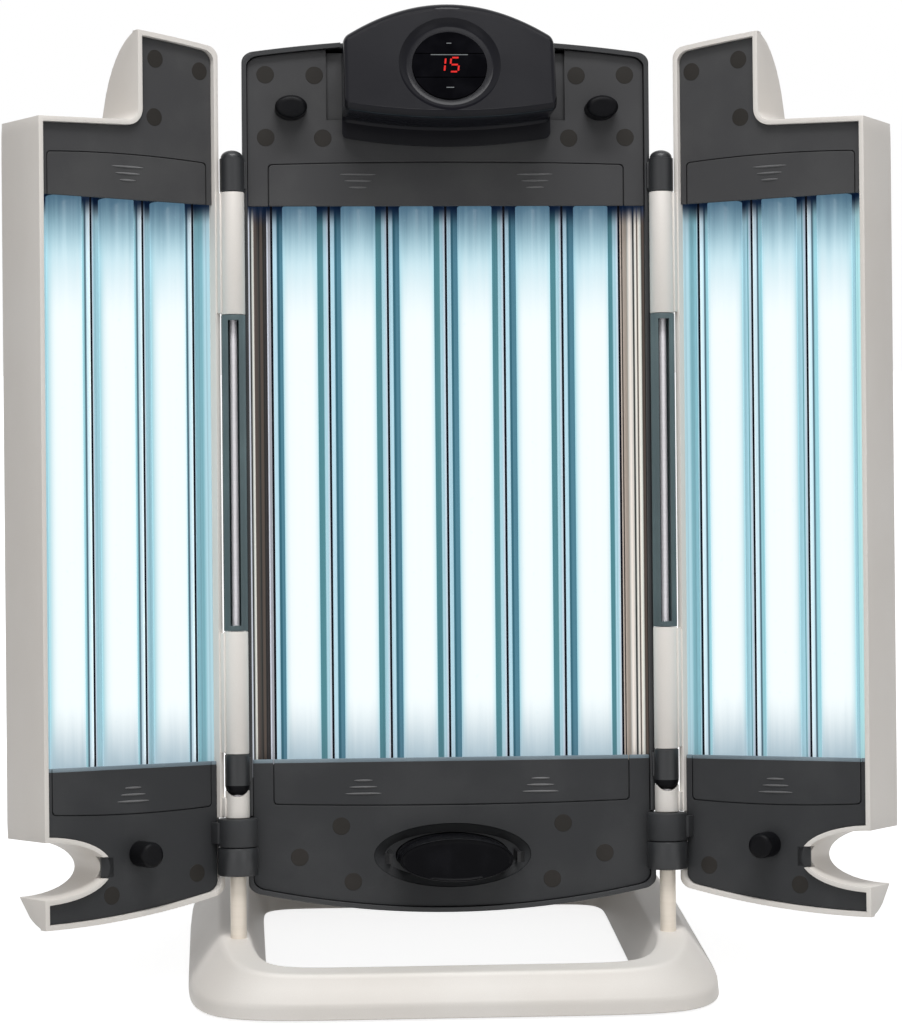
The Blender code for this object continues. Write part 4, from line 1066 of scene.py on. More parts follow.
class Edges:
    """Rows of the trays as (start, end, height function), from the bottom edge to the top edge."""

    LEVELS = (0.145, 0.155, 0.17, 0.30, 0.45, 0.56, 0.58, 0.60, 0.615)
    UNDER_NOTCH = 0.63
    LOW_STEPS = (0.013, 0.020, 0.028, 0.038, 0.050, 0.062)
    HIGH_STEPS = (0.058, 0.046, 0.036, 0.027, 0.020, 0.013)
    TOWER_STEPS = (0.042, 0.032, 0.024, 0.017, 0.012)
    NOTCH_SHARES = (0.0, 0.25, 0.5, 0.75)
    KNEE_SHARE = 0.1

    @staticmethod
    def rounding() -> list[Point]:
        """Heights over an edge, and insets, of a rounded corner."""
        return [(SIZE.corner * (1.0 - math.cos(t)), SIZE.corner * (1.0 - math.sin(t))) for t in turns(6)]

    @staticmethod
    def centre(inset: float) -> list[Row]:
        """Rows of the centre tray.

        Args:
            inset: How far the outline is drawn in.

        Returns:
            The rows.
        """
        half, rows = SIZE.centre_half - inset, []

        def low(step: float, corner: float = 0.0) -> None:
            """Add a row that follows the bottom edge."""
            share = step / (SIZE.jaw_top - SIZE.bottom_z - inset)
            rows.append((-half + corner, half - corner,
                         lambda x: (SIZE.bottom(x) + inset) * (1.0 - share) + share * SIZE.jaw_top))

        def high(step: float, corner: float = 0.0) -> None:
            """Add a row that follows the top edge."""
            share = 1.0 - step / (SIZE.top_z - inset - SIZE.notch_z)
            rows.append((-half + corner, half - corner,
                         lambda x: SIZE.notch_z * (1.0 - share) + share * (SIZE.top(x) - inset)))

        for step, corner in Edges.rounding():
            low(step, corner)
        for step in Edges.LOW_STEPS:
            low(step)
        for z in (SIZE.jaw_top, *Edges.LEVELS, Edges.UNDER_NOTCH, SIZE.notch_z):
            rows.append((-half, half, lambda x, z=z: z))
        for step in Edges.HIGH_STEPS:
            high(step)
        for step, corner in reversed(Edges.rounding()):
            high(step, corner)
        return rows

    @staticmethod
    def wing(inset: float) -> list[Row]:
        """Rows of a wing tray: lower jaw, C-shaped opening, straight sides, notch and tower.

        Args:
            inset: How far the outline is drawn in.

        Returns:
            The rows.
        """
        start, outer = SIZE.hinge_edge + inset, SIZE.reach - inset
        knee = SIZE.notch_z - Edges.KNEE_SHARE * SIZE.crown_top
        rows = []

        def low_edge(s: float) -> float:
            """Height of the bottom edge."""
            return SIZE.bottom(SIZE.hinge_x - s) + inset

        def high_edge(s: float) -> float:
            """Height of the top edge."""
            return SIZE.top(SIZE.hinge_x - s) + SIZE.wing_over - inset

        def low(end: float, z: float, corner: float = 0.0) -> None:
            """Add a row that follows the bottom edge and ends at a point."""
            share = (z - low_edge(end)) / (SIZE.jaw_top - low_edge(end))
            rows.append((start + corner, end, lambda s: low_edge(s) + share * (SIZE.jaw_top - low_edge(s))))

        def high(end: float, z: float, corner: float = 0.0) -> None:
            """Add a row that follows the top edge and ends at a point."""
            share = (z - knee) / (high_edge(end) - knee)
            rows.append((start + corner, end, lambda s: knee + share * (high_edge(s) - knee)))

        for step, corner in Edges.rounding():
            low(outer, low_edge(outer) + step, corner)
        for c, z in arc((0.0, SIZE.cut_z), SIZE.cut_a + inset, SIZE.cut_b + inset, -90.0, 90.0, 26):
            low(min(outer, SIZE.hinge_x - c), z)
        for z in (SIZE.jaw_top, *Edges.LEVELS, knee):
            rows.append((start, outer, lambda s, z=z: z))
        middle = (SIZE.tower + SIZE.notch_round, SIZE.notch_z + SIZE.notch_rise + SIZE.notch_round)
        for share in Edges.NOTCH_SHARES:
            high(outer + (middle[0] - outer) * share, SIZE.notch_z + SIZE.notch_rise * share - inset)
        radius = SIZE.notch_round + inset
        for s, z in arc(middle, radius, radius, 270.0, 180.0, 8):
            high(s, z)
        tower = SIZE.tower - inset
        for step in Edges.TOWER_STEPS:
            high(tower, high_edge(tower) - step)
        for step, corner in reversed(Edges.rounding()):
            high(tower, high_edge(tower) - step, corner)
        return rows


@dataclass(frozen=True)
class Tray:
    """A crowned tray: an outer and an inner skin that meet at its rim."""

    edges: Callable[[float], list[Row]]
    middle: float
    full: float
    spans: int
    over: float = 0.0
    far_round: float = SIZE.back_round
    most_deep: float = 0.9
    most_wide: float = 0.4
    rim_soft: float = 0.0007

    def skin(self, inset: float, thinner: float, keep: float) -> list[list[Spot]]:
        """Rows of one open skin, from its front edge round the back and home.

        Args:
            inset: How far its outline is drawn in.
            thinner: How far its back is drawn in.
            keep: Depth that the rounding of its back edges stays behind.

        Returns:
            The rows of points.
        """
        front, made, bend = SIZE.rim_front, [], turns(5)
        for start, end, height in self.edges(inset):
            def back(s: float, height: Callable[[float], float] = height) -> float:
                """Depth of the back."""
                return front + SIZE.crown(s - self.middle, height(s), self.full, self.over) - thinner

            most = min(self.most_deep * (min(back(start), back(end)) - keep), self.most_wide * (end - start))
            near, far = min(SIZE.back_round, most), min(self.far_round, most)
            flat = end - far - start - near
            path = [(start, 0.0, near), (start, 0.5, near)]
            path += [(start + near * (1.0 - math.cos(t)), 1.0 + math.sin(t), near) for t in bend]
            path += [(start + near + flat * i / self.spans, 2.0, near) for i in range(1, self.spans)]
            path += [(end - far * (1.0 - math.cos(t)), 1.0 + math.sin(t), far) for t in reversed(bend)]
            path += [(end, 0.5, far), (end, 0.0, far)]
            line = []
            for s, step, radius in path:
                rise = (back(s) - radius - front) * step if step < 1.0 else back(s) - radius * (2.0 - step) - front
                line.append((s, front + rise, height(s)))
            made.append(line)
        first, last = ([(x, front, z) for x, _, z in line] for line in (made[0], made[-1]))
        return [first, *made, last]

    def build(self) -> Mesh:
        """Return the tray with its rim softened."""
        outer = self.skin(0.0, 0.0, SIZE.rim_front + SIZE.rim)
        inner = self.skin(SIZE.rim, SIZE.wall, SIZE.liner_back + SIZE.fit)
        return Mesh().loft([[*out, *reversed(home)] for out, home in zip(outer, inner)]).soften(self.rim_soft)


@dataclass(frozen=True)
class HingeStack:
    """Heights of the sleeves on each hinge line, and their shapes."""

    ring_low: float = 0.0910
    ring_height: float = 0.0210
    gap: float = 0.0003
    stub_height: float = 0.0160
    knuckle_height: float = 0.0310
    barrel_top: float = 0.5982
    insert: float = 0.2345
    dome: float = 0.0060
    round_end: float = 0.0080
    cup_gap: float = 0.0012
    cup_rim: float = 0.0003
    cup_edge: float = 0.0004
    cut_length: float = 0.02
    room: float = 0.0157
    soft: float = 0.0006
    ring_soft: float = 0.0014
    cap_soft: float = 0.0005
    groove: float = 0.0009
    groove_rise: float = 0.0004
    web_front: float = 0.0012
    web_back: float = 0.0086
    web_end: float = 0.001

    @property
    def ring_high(self) -> float:
        """Top of the stand's ring."""
        return self.ring_low + self.ring_height

    @property
    def wing_ring(self) -> float:
        """Bottom of the wing's ring."""
        return self.ring_high + self.gap

    @property
    def wing_ring_high(self) -> float:
        """Top of the wing's ring."""
        return self.wing_ring + self.ring_height

    @property
    def stub_low(self) -> float:
        """Bottom of the wing's short stub."""
        return self.wing_ring_high + self.gap

    @property
    def knuckle_low(self) -> float:
        """Bottom of the lower knuckle."""
        return self.stub_low + self.stub_height + self.gap

    @property
    def knuckle_high(self) -> float:
        """Top of the lower knuckle."""
        return self.knuckle_low + self.knuckle_height

    @property
    def barrel_low(self) -> float:
        """Bottom of the lower barrel."""
        return self.knuckle_high + self.gap

    @property
    def cap_low(self) -> float:
        """Bottom of the top knuckle."""
        return self.barrel_top + self.gap

    @property
    def cap_high(self) -> float:
        """Where the top knuckle's dome begins."""
        return self.cap_low + self.knuckle_height - self.dome

    @property
    def insert_low(self) -> float:
        """Bottom of the slotted sleeve."""
        return (self.barrel_low + self.barrel_top - self.insert) / 2

    @property
    def insert_high(self) -> float:
        """Top of the slotted sleeve."""
        return self.insert_low + self.insert

    @staticmethod
    def sleeve(radius: float, low: float, high: float, soft: float = 0.0006) -> Mesh:
        """Return a sleeve round the rod with softened rims.

        Args:
            radius: Its outer radius.
            low: Its lower end.
            high: Its upper end.
            soft: Rounding of its rims.

        Returns:
            The mesh.
        """
        near = 0.3 * soft
        run = [(SIZE.bore_r, low), (radius - soft, low), (radius - near, low + near), (radius, low + soft)]
        home = [(r, high + low - z) for r, z in reversed(run)]
        return Mesh().lathe([*run, *home, run[0]], 48)

    def bowl(self, low: float, outer: float) -> list[Point]:
        """Profile of the knuckle's round lower end.

        Args:
            low: Height of its lowest point.
            outer: The radius that it goes out to.

        Returns:
            Points as (radius, height).
        """
        shares = [SIZE.bore_r + (outer - SIZE.bore_r) * i / 8 for i in range(9)]
        return [(r, low + self.round_end * (1.0 - math.sqrt(1.0 - (r / SIZE.knuckle_r) ** 2))) for r in shares]

    def knuckle(self) -> Mesh:
        """Return the lower knuckle with its round lower end."""
        run = self.bowl(self.knuckle_low, SIZE.knuckle_r)
        high, r, soft = self.knuckle_high, SIZE.knuckle_r, self.soft
        mesh = Mesh().lathe([*run, (r, high - soft), (r - soft, high), (SIZE.bore_r, high), run[0]], 48)
        # painted shade: the round lower end takes the second, near-black slot
        for face in mesh.bm.faces:
            face.material_index = int(face.calc_center_median().z < self.knuckle_low + self.round_end)
        return mesh

    def stub(self) -> Mesh:
        """Return the wing's short stub with the cup that takes the knuckle's round end."""
        low, r, soft = self.stub_low, SIZE.barrel_r, self.soft
        cup = self.bowl(self.knuckle_low - self.cup_gap, r - self.cup_rim)
        run = [(SIZE.bore_r, low), (r - soft, low), (r, low + soft), (r, cup[-1][1] - self.cup_edge)]
        turn = Matrix.Rotation(STANCE.wing_open, 4, "Z") @ TO_FRONT
        flat = Matrix.Translation((0.0, 0.0, cup[0][1] + r)) @ turn
        cut = Mesh().drum(r, 0.0, self.cut_length).moved(flat)
        return Mesh().lathe([*run, *reversed(cup), run[0]], 48).carve([cut])

    def cap(self) -> Mesh:
        """Return the round-topped knuckle at the top of a hinge line."""
        r, low, soft, rise = SIZE.knuckle_r, self.cap_low, self.cap_soft, self.groove_rise
        top, neck = self.cap_high, r - self.groove
        run = [(0.0, low), (r - soft, low), (r, low + soft), (r, top - rise), (neck, top - rise / 4),
               (neck, top + rise)]
        run += [(neck * math.cos(t), top + rise + (self.dome - rise) * math.sin(t)) for t in turns(7)[1:]]
        return Mesh().lathe(run, 48)

    def web(self, across: Point, low: float, high: float) -> Mesh:
        """Return a web that joins a sleeve to its tray."""
        return Mesh().block((across[0], self.web_front, low), (across[1], self.web_back, high), self.soft)


HINGE = HingeStack()


@dataclass(frozen=True)
class LampCover:
    """One sliding lamp cover with its rows of grip ribs."""

    name: str
    start: float
    end: float
    lamp_end: End
    grips: tuple[float, ...]
    lengths: tuple[float, float, float] = (0.0140, 0.0210, 0.0275)
    first: float = 0.0140
    step: float = 0.0049
    rib: float = 0.0008
    lip_height: float = 0.0026
    lip_under: float = 0.0004
    corner: float = 0.0030
    soft: float = 0.0006
    ledge_gap: float = 0.0003
    ledge_wide: float = 0.0030
    ledge_back: float = 0.0012
    ledge_thick: float = 0.0008

    def outline(self, grow: float, steps: int = 24) -> list[Point]:
        """Outline from the window's edge round the far side.

        Args:
            grow: How much it is widened, for the cut-out in the liner.
            steps: Steps along its bowed edge.

        Returns:
            The (x, z) points.
        """
        way, window, r = self.lamp_end.value, self.lamp_end.window, self.corner
        middle, half = (self.start + self.end) / 2, (self.end - self.start) / 2 + grow
        far = window + way * (SIZE.cover_height + grow)
        bend = [(half - r + r * math.cos(t), r * (math.sin(t) - 1.0)) for t in turns(4)]
        run = [(half, window)] + [(x, far + way * (z - SIZE.cover_bow)) for x, z in bend]
        inner = half - r
        for i in range(1, steps):
            x = inner * (1.0 - 2.0 * i / steps)
            run.append((x, far - way * SIZE.cover_bow * (x / inner) ** 2))
        run += [(-x, z) for x, z in reversed(run[:len(bend) + 1])]
        return [(middle + x, z) for x, z in run]

    def lip(self, mesh: Mesh, start: float, end: float, index: int) -> None:
        """Add the lip that stands along the lower window edge, in the finish with painted lamplight.

        Args:
            mesh: The cover or liner.
            start: Where the lip starts across.
            end: Where it ends.
            index: Its material slot.
        """
        low, high = self.lamp_end.window - self.lip_under, self.lamp_end.window + self.lip_height
        mesh.absorb(Mesh().block((start, SIZE.face, low), (end, SIZE.liner_back, high), self.soft), None, index)

    def ledge(self, mesh: Mesh, sides: Point) -> None:
        """Add the ledge behind the cover's seam, and the lips beside the cover, to a liner.

        Args:
            mesh: The liner.
            sides: Where the liner's lamp side starts and ends.
        """
        back, window = SIZE.liner_back + self.ledge_gap, self.lamp_end.window
        edge = window + self.lamp_end.value * self.ledge_back
        shelf = [(x, edge if abs(z - window) < SAME else z) for x, z in self.outline(self.ledge_wide)]
        mesh.absorb(Mesh().plate(shelf, back, back + self.ledge_thick))
        if self.lamp_end is End.BOTTOM:
            self.lip(mesh, sides[0], self.start - SIZE.seam, 1)
            self.lip(mesh, self.end + SIZE.seam, sides[1], 1)

    def build(self, bench: Bench) -> None:
        """Make the cover and its ribs.

        Args:
            bench: Where they are made.
        """
        mesh, looks = Mesh().plate(self.outline(0.0), SIZE.face, SIZE.liner_back).soften(self.soft), bench.looks
        if self.lamp_end is End.BOTTOM:
            self.lip(mesh, self.start, self.end, 2)
        for x in self.grips:
            for i, length in enumerate(self.lengths):
                z = self.lamp_end.window + self.lamp_end.value * (self.first + self.step * i)
                mesh.absorb(Mesh().bead((length / 2, self.rib, self.rib), (x, SIZE.face, z)), None, 1)
        bench.piece(mesh, self.name, "dark", looks.plate(self.lamp_end), looks.rib, looks.lit_edge, body=self.name)


@dataclass(frozen=True)
class TubeSet:
    """The lamps of one panel and the folded reflector behind them."""

    prefix: str
    places: tuple[float, ...]
    edges: Point
    # facing: the way each tube's white core faces; the sides away from it take the painted shade
    facing: Point = (0.0, -1.0)
    far_fold: bool = True
    length: float = 0.4374
    cap: float = 0.0100
    seal: float = 0.0005
    pin_taper: float = 0.0006
    pin_r: float = 0.0012
    pin_length: float = 0.0070
    pin_spread: float = 0.0127
    trough: float = 0.0435
    trough_half: float = 0.0090
    ridge: float = 0.0260
    outer_fold: float = 0.0213
    crease: Point = (0.0003, 0.0008)
    # the last value of each point is the fold mask, which paints the dark fold line
    fold_shape: tuple[Colour, ...] = ((0.0030, 0.0022, 0.0), (0.0011, 0.0004, 0.0), (0.0006, 0.0, 1.0))
    flutes: float = 3.0
    flute_share: float = 0.05
    sheet_front: float = 0.0136
    sheet: float = 0.0008
    left_strip: float = 30.0
    right_strip: float = 60.0

    def lamp(self) -> Mesh:
        """Return one bi-pin tube about its own axis: glass, end caps and pins."""
        r, cap, seal = SIZE.lamp_r, self.cap, self.seal
        neck, tip = r - seal, -self.pin_length
        half = [(0.0, cap - seal), (neck - 0.0012, cap - seal), (neck - 0.0002, cap - 0.0003), (r - 0.0002, cap),
                (r, cap + seal)]
        mesh = Mesh().lathe([*half, *((x, self.length - z) for x, z in reversed(half))], 48)
        shape = [(0.0, 0.0), (neck - 0.0016, 0.0), (neck - 0.0003, 0.0008), (neck, 0.0020), (neck, cap - 0.0006),
                 (neck - seal, cap), (0.0, cap)]
        pin = [(0.0, tip), (self.pin_r * 0.6, tip), (self.pin_r, tip + self.pin_taper), (self.pin_r, 0.0),
               (0.0, 0.0)]
        for low, flip in ((0.0, 1.0), (self.length, -1.0)):
            place = Matrix.Translation((0.0, 0.0, low)) @ Matrix.Diagonal((1.0, 1.0, flip, 1.0))
            mesh.absorb(Mesh().lathe(shape, 40), place, 1)
            for x in (-self.pin_spread / 2, self.pin_spread / 2):
                mesh.absorb(Mesh().lathe(pin, 10), place @ Matrix.Translation((x, 0.0, 0.0)), 1)
        return mesh

    def fold(self, x: float, left: float = 0.0, right: float = 0.0) -> list[Station]:
        """Points over one fold of the sheet.

        Args:
            x: The fold's place.
            left: Where the strip on its left starts among the bands, if it is an outer strip.
            right: The same on its right.

        Returns:
            Points as (across, depth, band, fold mask).
        """
        way, shape = 1.0 if left else -1.0, self.fold_shape
        points = [(x - d, self.ridge + y, left + way * d * MM, mask) for d, y, mask in shape]
        return points + [(x + d, self.ridge + y, right + d * MM, mask) for d, y, mask in reversed(shape)]

    def strip(self, start: Point, end: Point, band: float, steps: int = 12) -> list[Station]:
        """Points of a fluted side strip.

        Args:
            start: Its inner end as (across, depth).
            end: Its outer end.
            band: Where it starts among the bands.
            steps: Steps across it.

        Returns:
            Points as (across, depth, band, fold mask), inner end left out.
        """
        points, wide = [], abs(end[0] - start[0])
        for i in range(1, steps + 1):
            t = i / steps
            swing = self.flute_share * wide * math.sin(math.tau * self.flutes * t)
            x, y = (a + (b - a) * t for a, b in zip(start, end))
            points.append((x, y + swing, band + wide * t * MM, 0.0))
        return points

    def section(self) -> list[Station]:
        """Return the sheet's front line as (across, depth, band, fold mask) points."""
        flank, half = self.fold_shape[0][0], SIZE.pitch / 2
        first, last = self.places[0] - self.outer_fold, self.places[-1] + self.outer_fold
        side = self.ridge + self.fold_shape[0][1]
        edge = self.strip((first - flank, side), (self.edges[0], self.sheet_front), self.left_strip + flank * MM)
        line = [*reversed(edge), *self.fold(first, left=self.left_strip)]
        for i, x in enumerate(self.places):
            before = half if i else self.outer_fold
            inner = i + 1 < len(self.places)
            after = half if inner else self.outer_fold
            line += [(x - self.trough_half, self.trough, (before - self.trough_half) * MM, 0.0),
                     (x - self.crease[0], self.trough + self.crease[1], before * MM, 0.0),
                     (x + self.crease[0], self.trough + self.crease[1], -after * MM, 0.0),
                     (x + self.trough_half, self.trough, -(after - self.trough_half) * MM, 0.0)]
            if inner:
                line += self.fold(x + half)
        end = (self.edges[1], self.sheet_front)
        if self.far_fold:
            line += self.fold(last, right=self.right_strip)
            return line + self.strip((last + flank, side), end, self.right_strip + flank * MM)
        x, y = line[-1][0], line[-1][1]
        return line + self.strip((x + 0.0002, y), end, self.right_strip)

    def build(self, bench: Bench, sheet_finish: bpy.types.Material) -> None:
        """Make the tubes and the reflector.

        Args:
            bench: Where they are made.
            sheet_finish: The reflector's material.
        """
        for i, x in enumerate(self.places):
            # these values drive the tube's painted shade at its sides and its painted shadow at the upper end
            def tube_paint(spot: Vector, x: float = x) -> Colour:
                """How far a point faces the front, and its distance from each end."""
                front = (spot.x - x) * self.facing[0] + (spot.y - SIZE.lamp_y) * self.facing[1]
                return front / SIZE.lamp_r, SIZE.lamp_top - spot.z, spot.z - SIZE.lamp_bottom

            mesh = self.lamp().moved(Matrix.Translation((x, SIZE.lamp_y, SIZE.lamp_bottom)))
            bench.piece(mesh, f"{self.prefix}_lamp_{i + 1}", "lamp", bench.looks.tube, bench.looks.cap,
                        angle=50.0, paint=tube_paint)
        line = self.section()

        # these values drive the sheet's painted reflections, its painted shadow near the top and its painted fold
        # lines
        def sheet_paint(spot: Vector) -> Colour:
            """Band, drop below the lamps' top and fold mask of a point."""
            near = min(line, key=lambda p: abs(p[0] - spot.x) + 0.3 * abs(p[1] - spot.y))
            return near[2], SIZE.lamp_top - spot.z, near[3]

        sheet = Mesh().grid([[(x, y, z) for x, y, _, _ in line] for z in (SIZE.lamp_bottom, SIZE.lamp_top)])
        if sum(f.normal.y for f in sheet.bm.faces) > 0.0:
            bmesh.ops.reverse_faces(sheet.bm, faces=sheet.bm.faces[:])
        bench.piece(sheet.walled(self.sheet), f"{self.prefix}_reflector", "mirror", sheet_finish,
                    angle=60.0, paint=sheet_paint)


@dataclass(frozen=True)
class Wing:
    """One hinged wing: pearl tray, liners, lamps, covers, sleeve and buffer."""

    side: Side
    buffer_s: float = 0.0783
    buffer_z: float = 0.1110
    buffer_r: float = 0.0094
    catch_height: float = 0.0150
    catch_end: float = 0.0496
    catch_deep: float = 0.0168
    catch_lap: float = 0.004
    catch_soft: float = 0.0005
    slot_width: float = 0.0080
    slot_end: float = 0.004
    slot_deep: float = 0.02
    web: Point = (0.0063, 0.0103)
    ring_web: Point = (0.0119, 0.0170)
    ring_web_soft: float = 0.0008
    first_lamp: float = 0.0400
    # front: the way the tubes' white core faces; their sides away from it take the painted shade
    front: Point = (0.30, -0.95)
    plate_soft: float = 0.0004
    screws: tuple[Point, ...] = (
        (0.0596, 0.694), (0.0214, 0.688), (0.0608, 0.651), (0.0296, 0.0939), (0.1025, 0.082),
    )

    def covers(self) -> dict[End, LampCover]:
        """Return the wing's two lamp covers."""
        start = SIZE.hinge_edge + SIZE.rim + SIZE.cover_side / 3
        end, name = SIZE.reach - SIZE.rim - SIZE.cover_side / 3, f"{self.side.wing}_{{}}_lamp_cover"
        return {e: LampCover(name.format(e.word), start, end, e, ((start + end) / 2,)) for e in End}

    def tray(self) -> Mesh:
        """Return the tray with its hinge barrels."""
        mesh = Tray(Edges.wing, SIZE.hinge_x, SIZE.wing_depth, 10, SIZE.wing_over, SIZE.free_round).build()
        half = self.catch_height / 2 + SIZE.fit
        inner = SIZE.hinge_x - SIZE.cut_a
        notch = Mesh().block((inner - SIZE.rim - SIZE.wall, 0.0, SIZE.cut_z - half),
                             (inner + 2 * SIZE.wall, self.catch_deep, SIZE.cut_z + half))
        room = Mesh().drum(HINGE.room, HINGE.ring_low - SIZE.wall / 2, HINGE.wing_ring_high + 2 * SIZE.fit)
        mesh.carve([notch, room]).absorb(HINGE.stub())
        barrels = ((HINGE.barrel_low, HINGE.insert_low - HINGE.gap),
                   (HINGE.insert_high + HINGE.gap, HINGE.barrel_top))
        for low, high in barrels:
            mesh.absorb(HINGE.sleeve(SIZE.barrel_r, low, high))
        for low, high in ((HINGE.stub_low, HINGE.knuckle_low), *barrels):
            mesh.absorb(HINGE.web(self.web, low + HINGE.web_end, high - HINGE.web_end))
        return mesh

    def liner(self, end: End) -> list[Point]:
        """Outline of a liner with the cover's cut-out in its lamp side.

        Args:
            end: Which liner.

        Returns:
            The (s, z) points.
        """
        rows, window = Edges.wing(SIZE.rim + SIZE.fit), end.window
        cut, (start, outer) = self.covers()[end].outline(SIZE.seam), SIZE.wing_sides
        kept = [row for row in rows if end.value * (row[2](row[1]) - window) > 0.001]
        edge = kept[-1] if end is End.TOP else kept[0]
        free = [(row[1], row[2](row[1])) for row in kept]
        hinge = [(row[0], row[2](row[0])) for row in kept]
        tip = [edge[0] + (edge[1] - edge[0]) * i / 24 for i in range(1, 24)]
        if end is End.BOTTOM:
            free.reverse()
            hinge.reverse()
        rim = [*free, *((s, edge[2](s)) for s in reversed(tip)), *reversed(hinge)]
        return [(start, window), *reversed(cut), (outer, window), *rim]

    def build(self, bench: Bench) -> None:
        """Make and dress every piece of the wing.

        Args:
            bench: Where the object is made.
        """
        wing, looks = self.side.wing, bench.looks
        bench = replace(bench, place=STANCE.wing(self.side), body=wing)
        bench.piece(self.tray(), f"{wing}_shell", "pearl", looks.pearl)
        plates = {e: Mesh().plate(self.liner(e), SIZE.face, SIZE.liner_back).soften(self.plate_soft) for e in End}
        low = plates[End.BOTTOM]
        half, inner = self.catch_height / 2, SIZE.hinge_x - SIZE.cut_a - SIZE.rim
        low.absorb(Mesh().block(
            (inner - self.catch_lap, SIZE.face, SIZE.cut_z - half),
            (SIZE.hinge_x - self.catch_end, SIZE.liner_back, SIZE.cut_z + half), self.catch_soft))
        low.absorb(HINGE.sleeve(SIZE.ring_r, HINGE.wing_ring, HINGE.wing_ring_high, HINGE.ring_soft))
        low.absorb(Mesh().block(
            (self.ring_web[0], HINGE.web_front, HINGE.wing_ring + SIZE.wall),
            (self.ring_web[1], SIZE.liner_back, HINGE.wing_ring_high - SIZE.wall), self.ring_web_soft))
        for end, mesh in plates.items():
            self.covers()[end].ledge(mesh, SIZE.wing_sides)
            bench.piece(mesh, f"{wing}_{end.word}_liner", "dark", looks.plate(end), looks.lit_edge)
        for cover in self.covers().values():
            cover.build(bench)
        lamps = tuple(self.first_lamp + SIZE.pitch * i for i in range(3))
        TubeSet(wing, lamps, SIZE.wing_sides, self.front, far_fold=False).build(bench, looks.wing_sheet)
        self.sleeve(bench)
        bench.buffer(f"{wing}_bumper", self.buffer_r, self.buffer_r, self.buffer_s, self.buffer_z)
        bench.plugs(f"{wing}_screw_plugs", self.screws)

    def sleeve(self, bench: Bench) -> None:
        """Make the slotted sleeve between the barrels.

        Args:
            bench: Where it is made.
        """
        low, high, half = HINGE.insert_low, HINGE.insert_high, self.slot_width / 2
        mesh = HINGE.sleeve(SIZE.barrel_r, low, high, self.plate_soft)
        gap = Mesh().block((-half, -self.slot_deep, low + self.slot_end), (half, 0.0, high - self.slot_end))
        gap.moved(Matrix.Rotation(STANCE.wing_open, 4, "Z"))
        bench.piece(mesh.carve([gap]), f"{self.side.wing}_hinge_insert", "slate", bench.looks.slate)


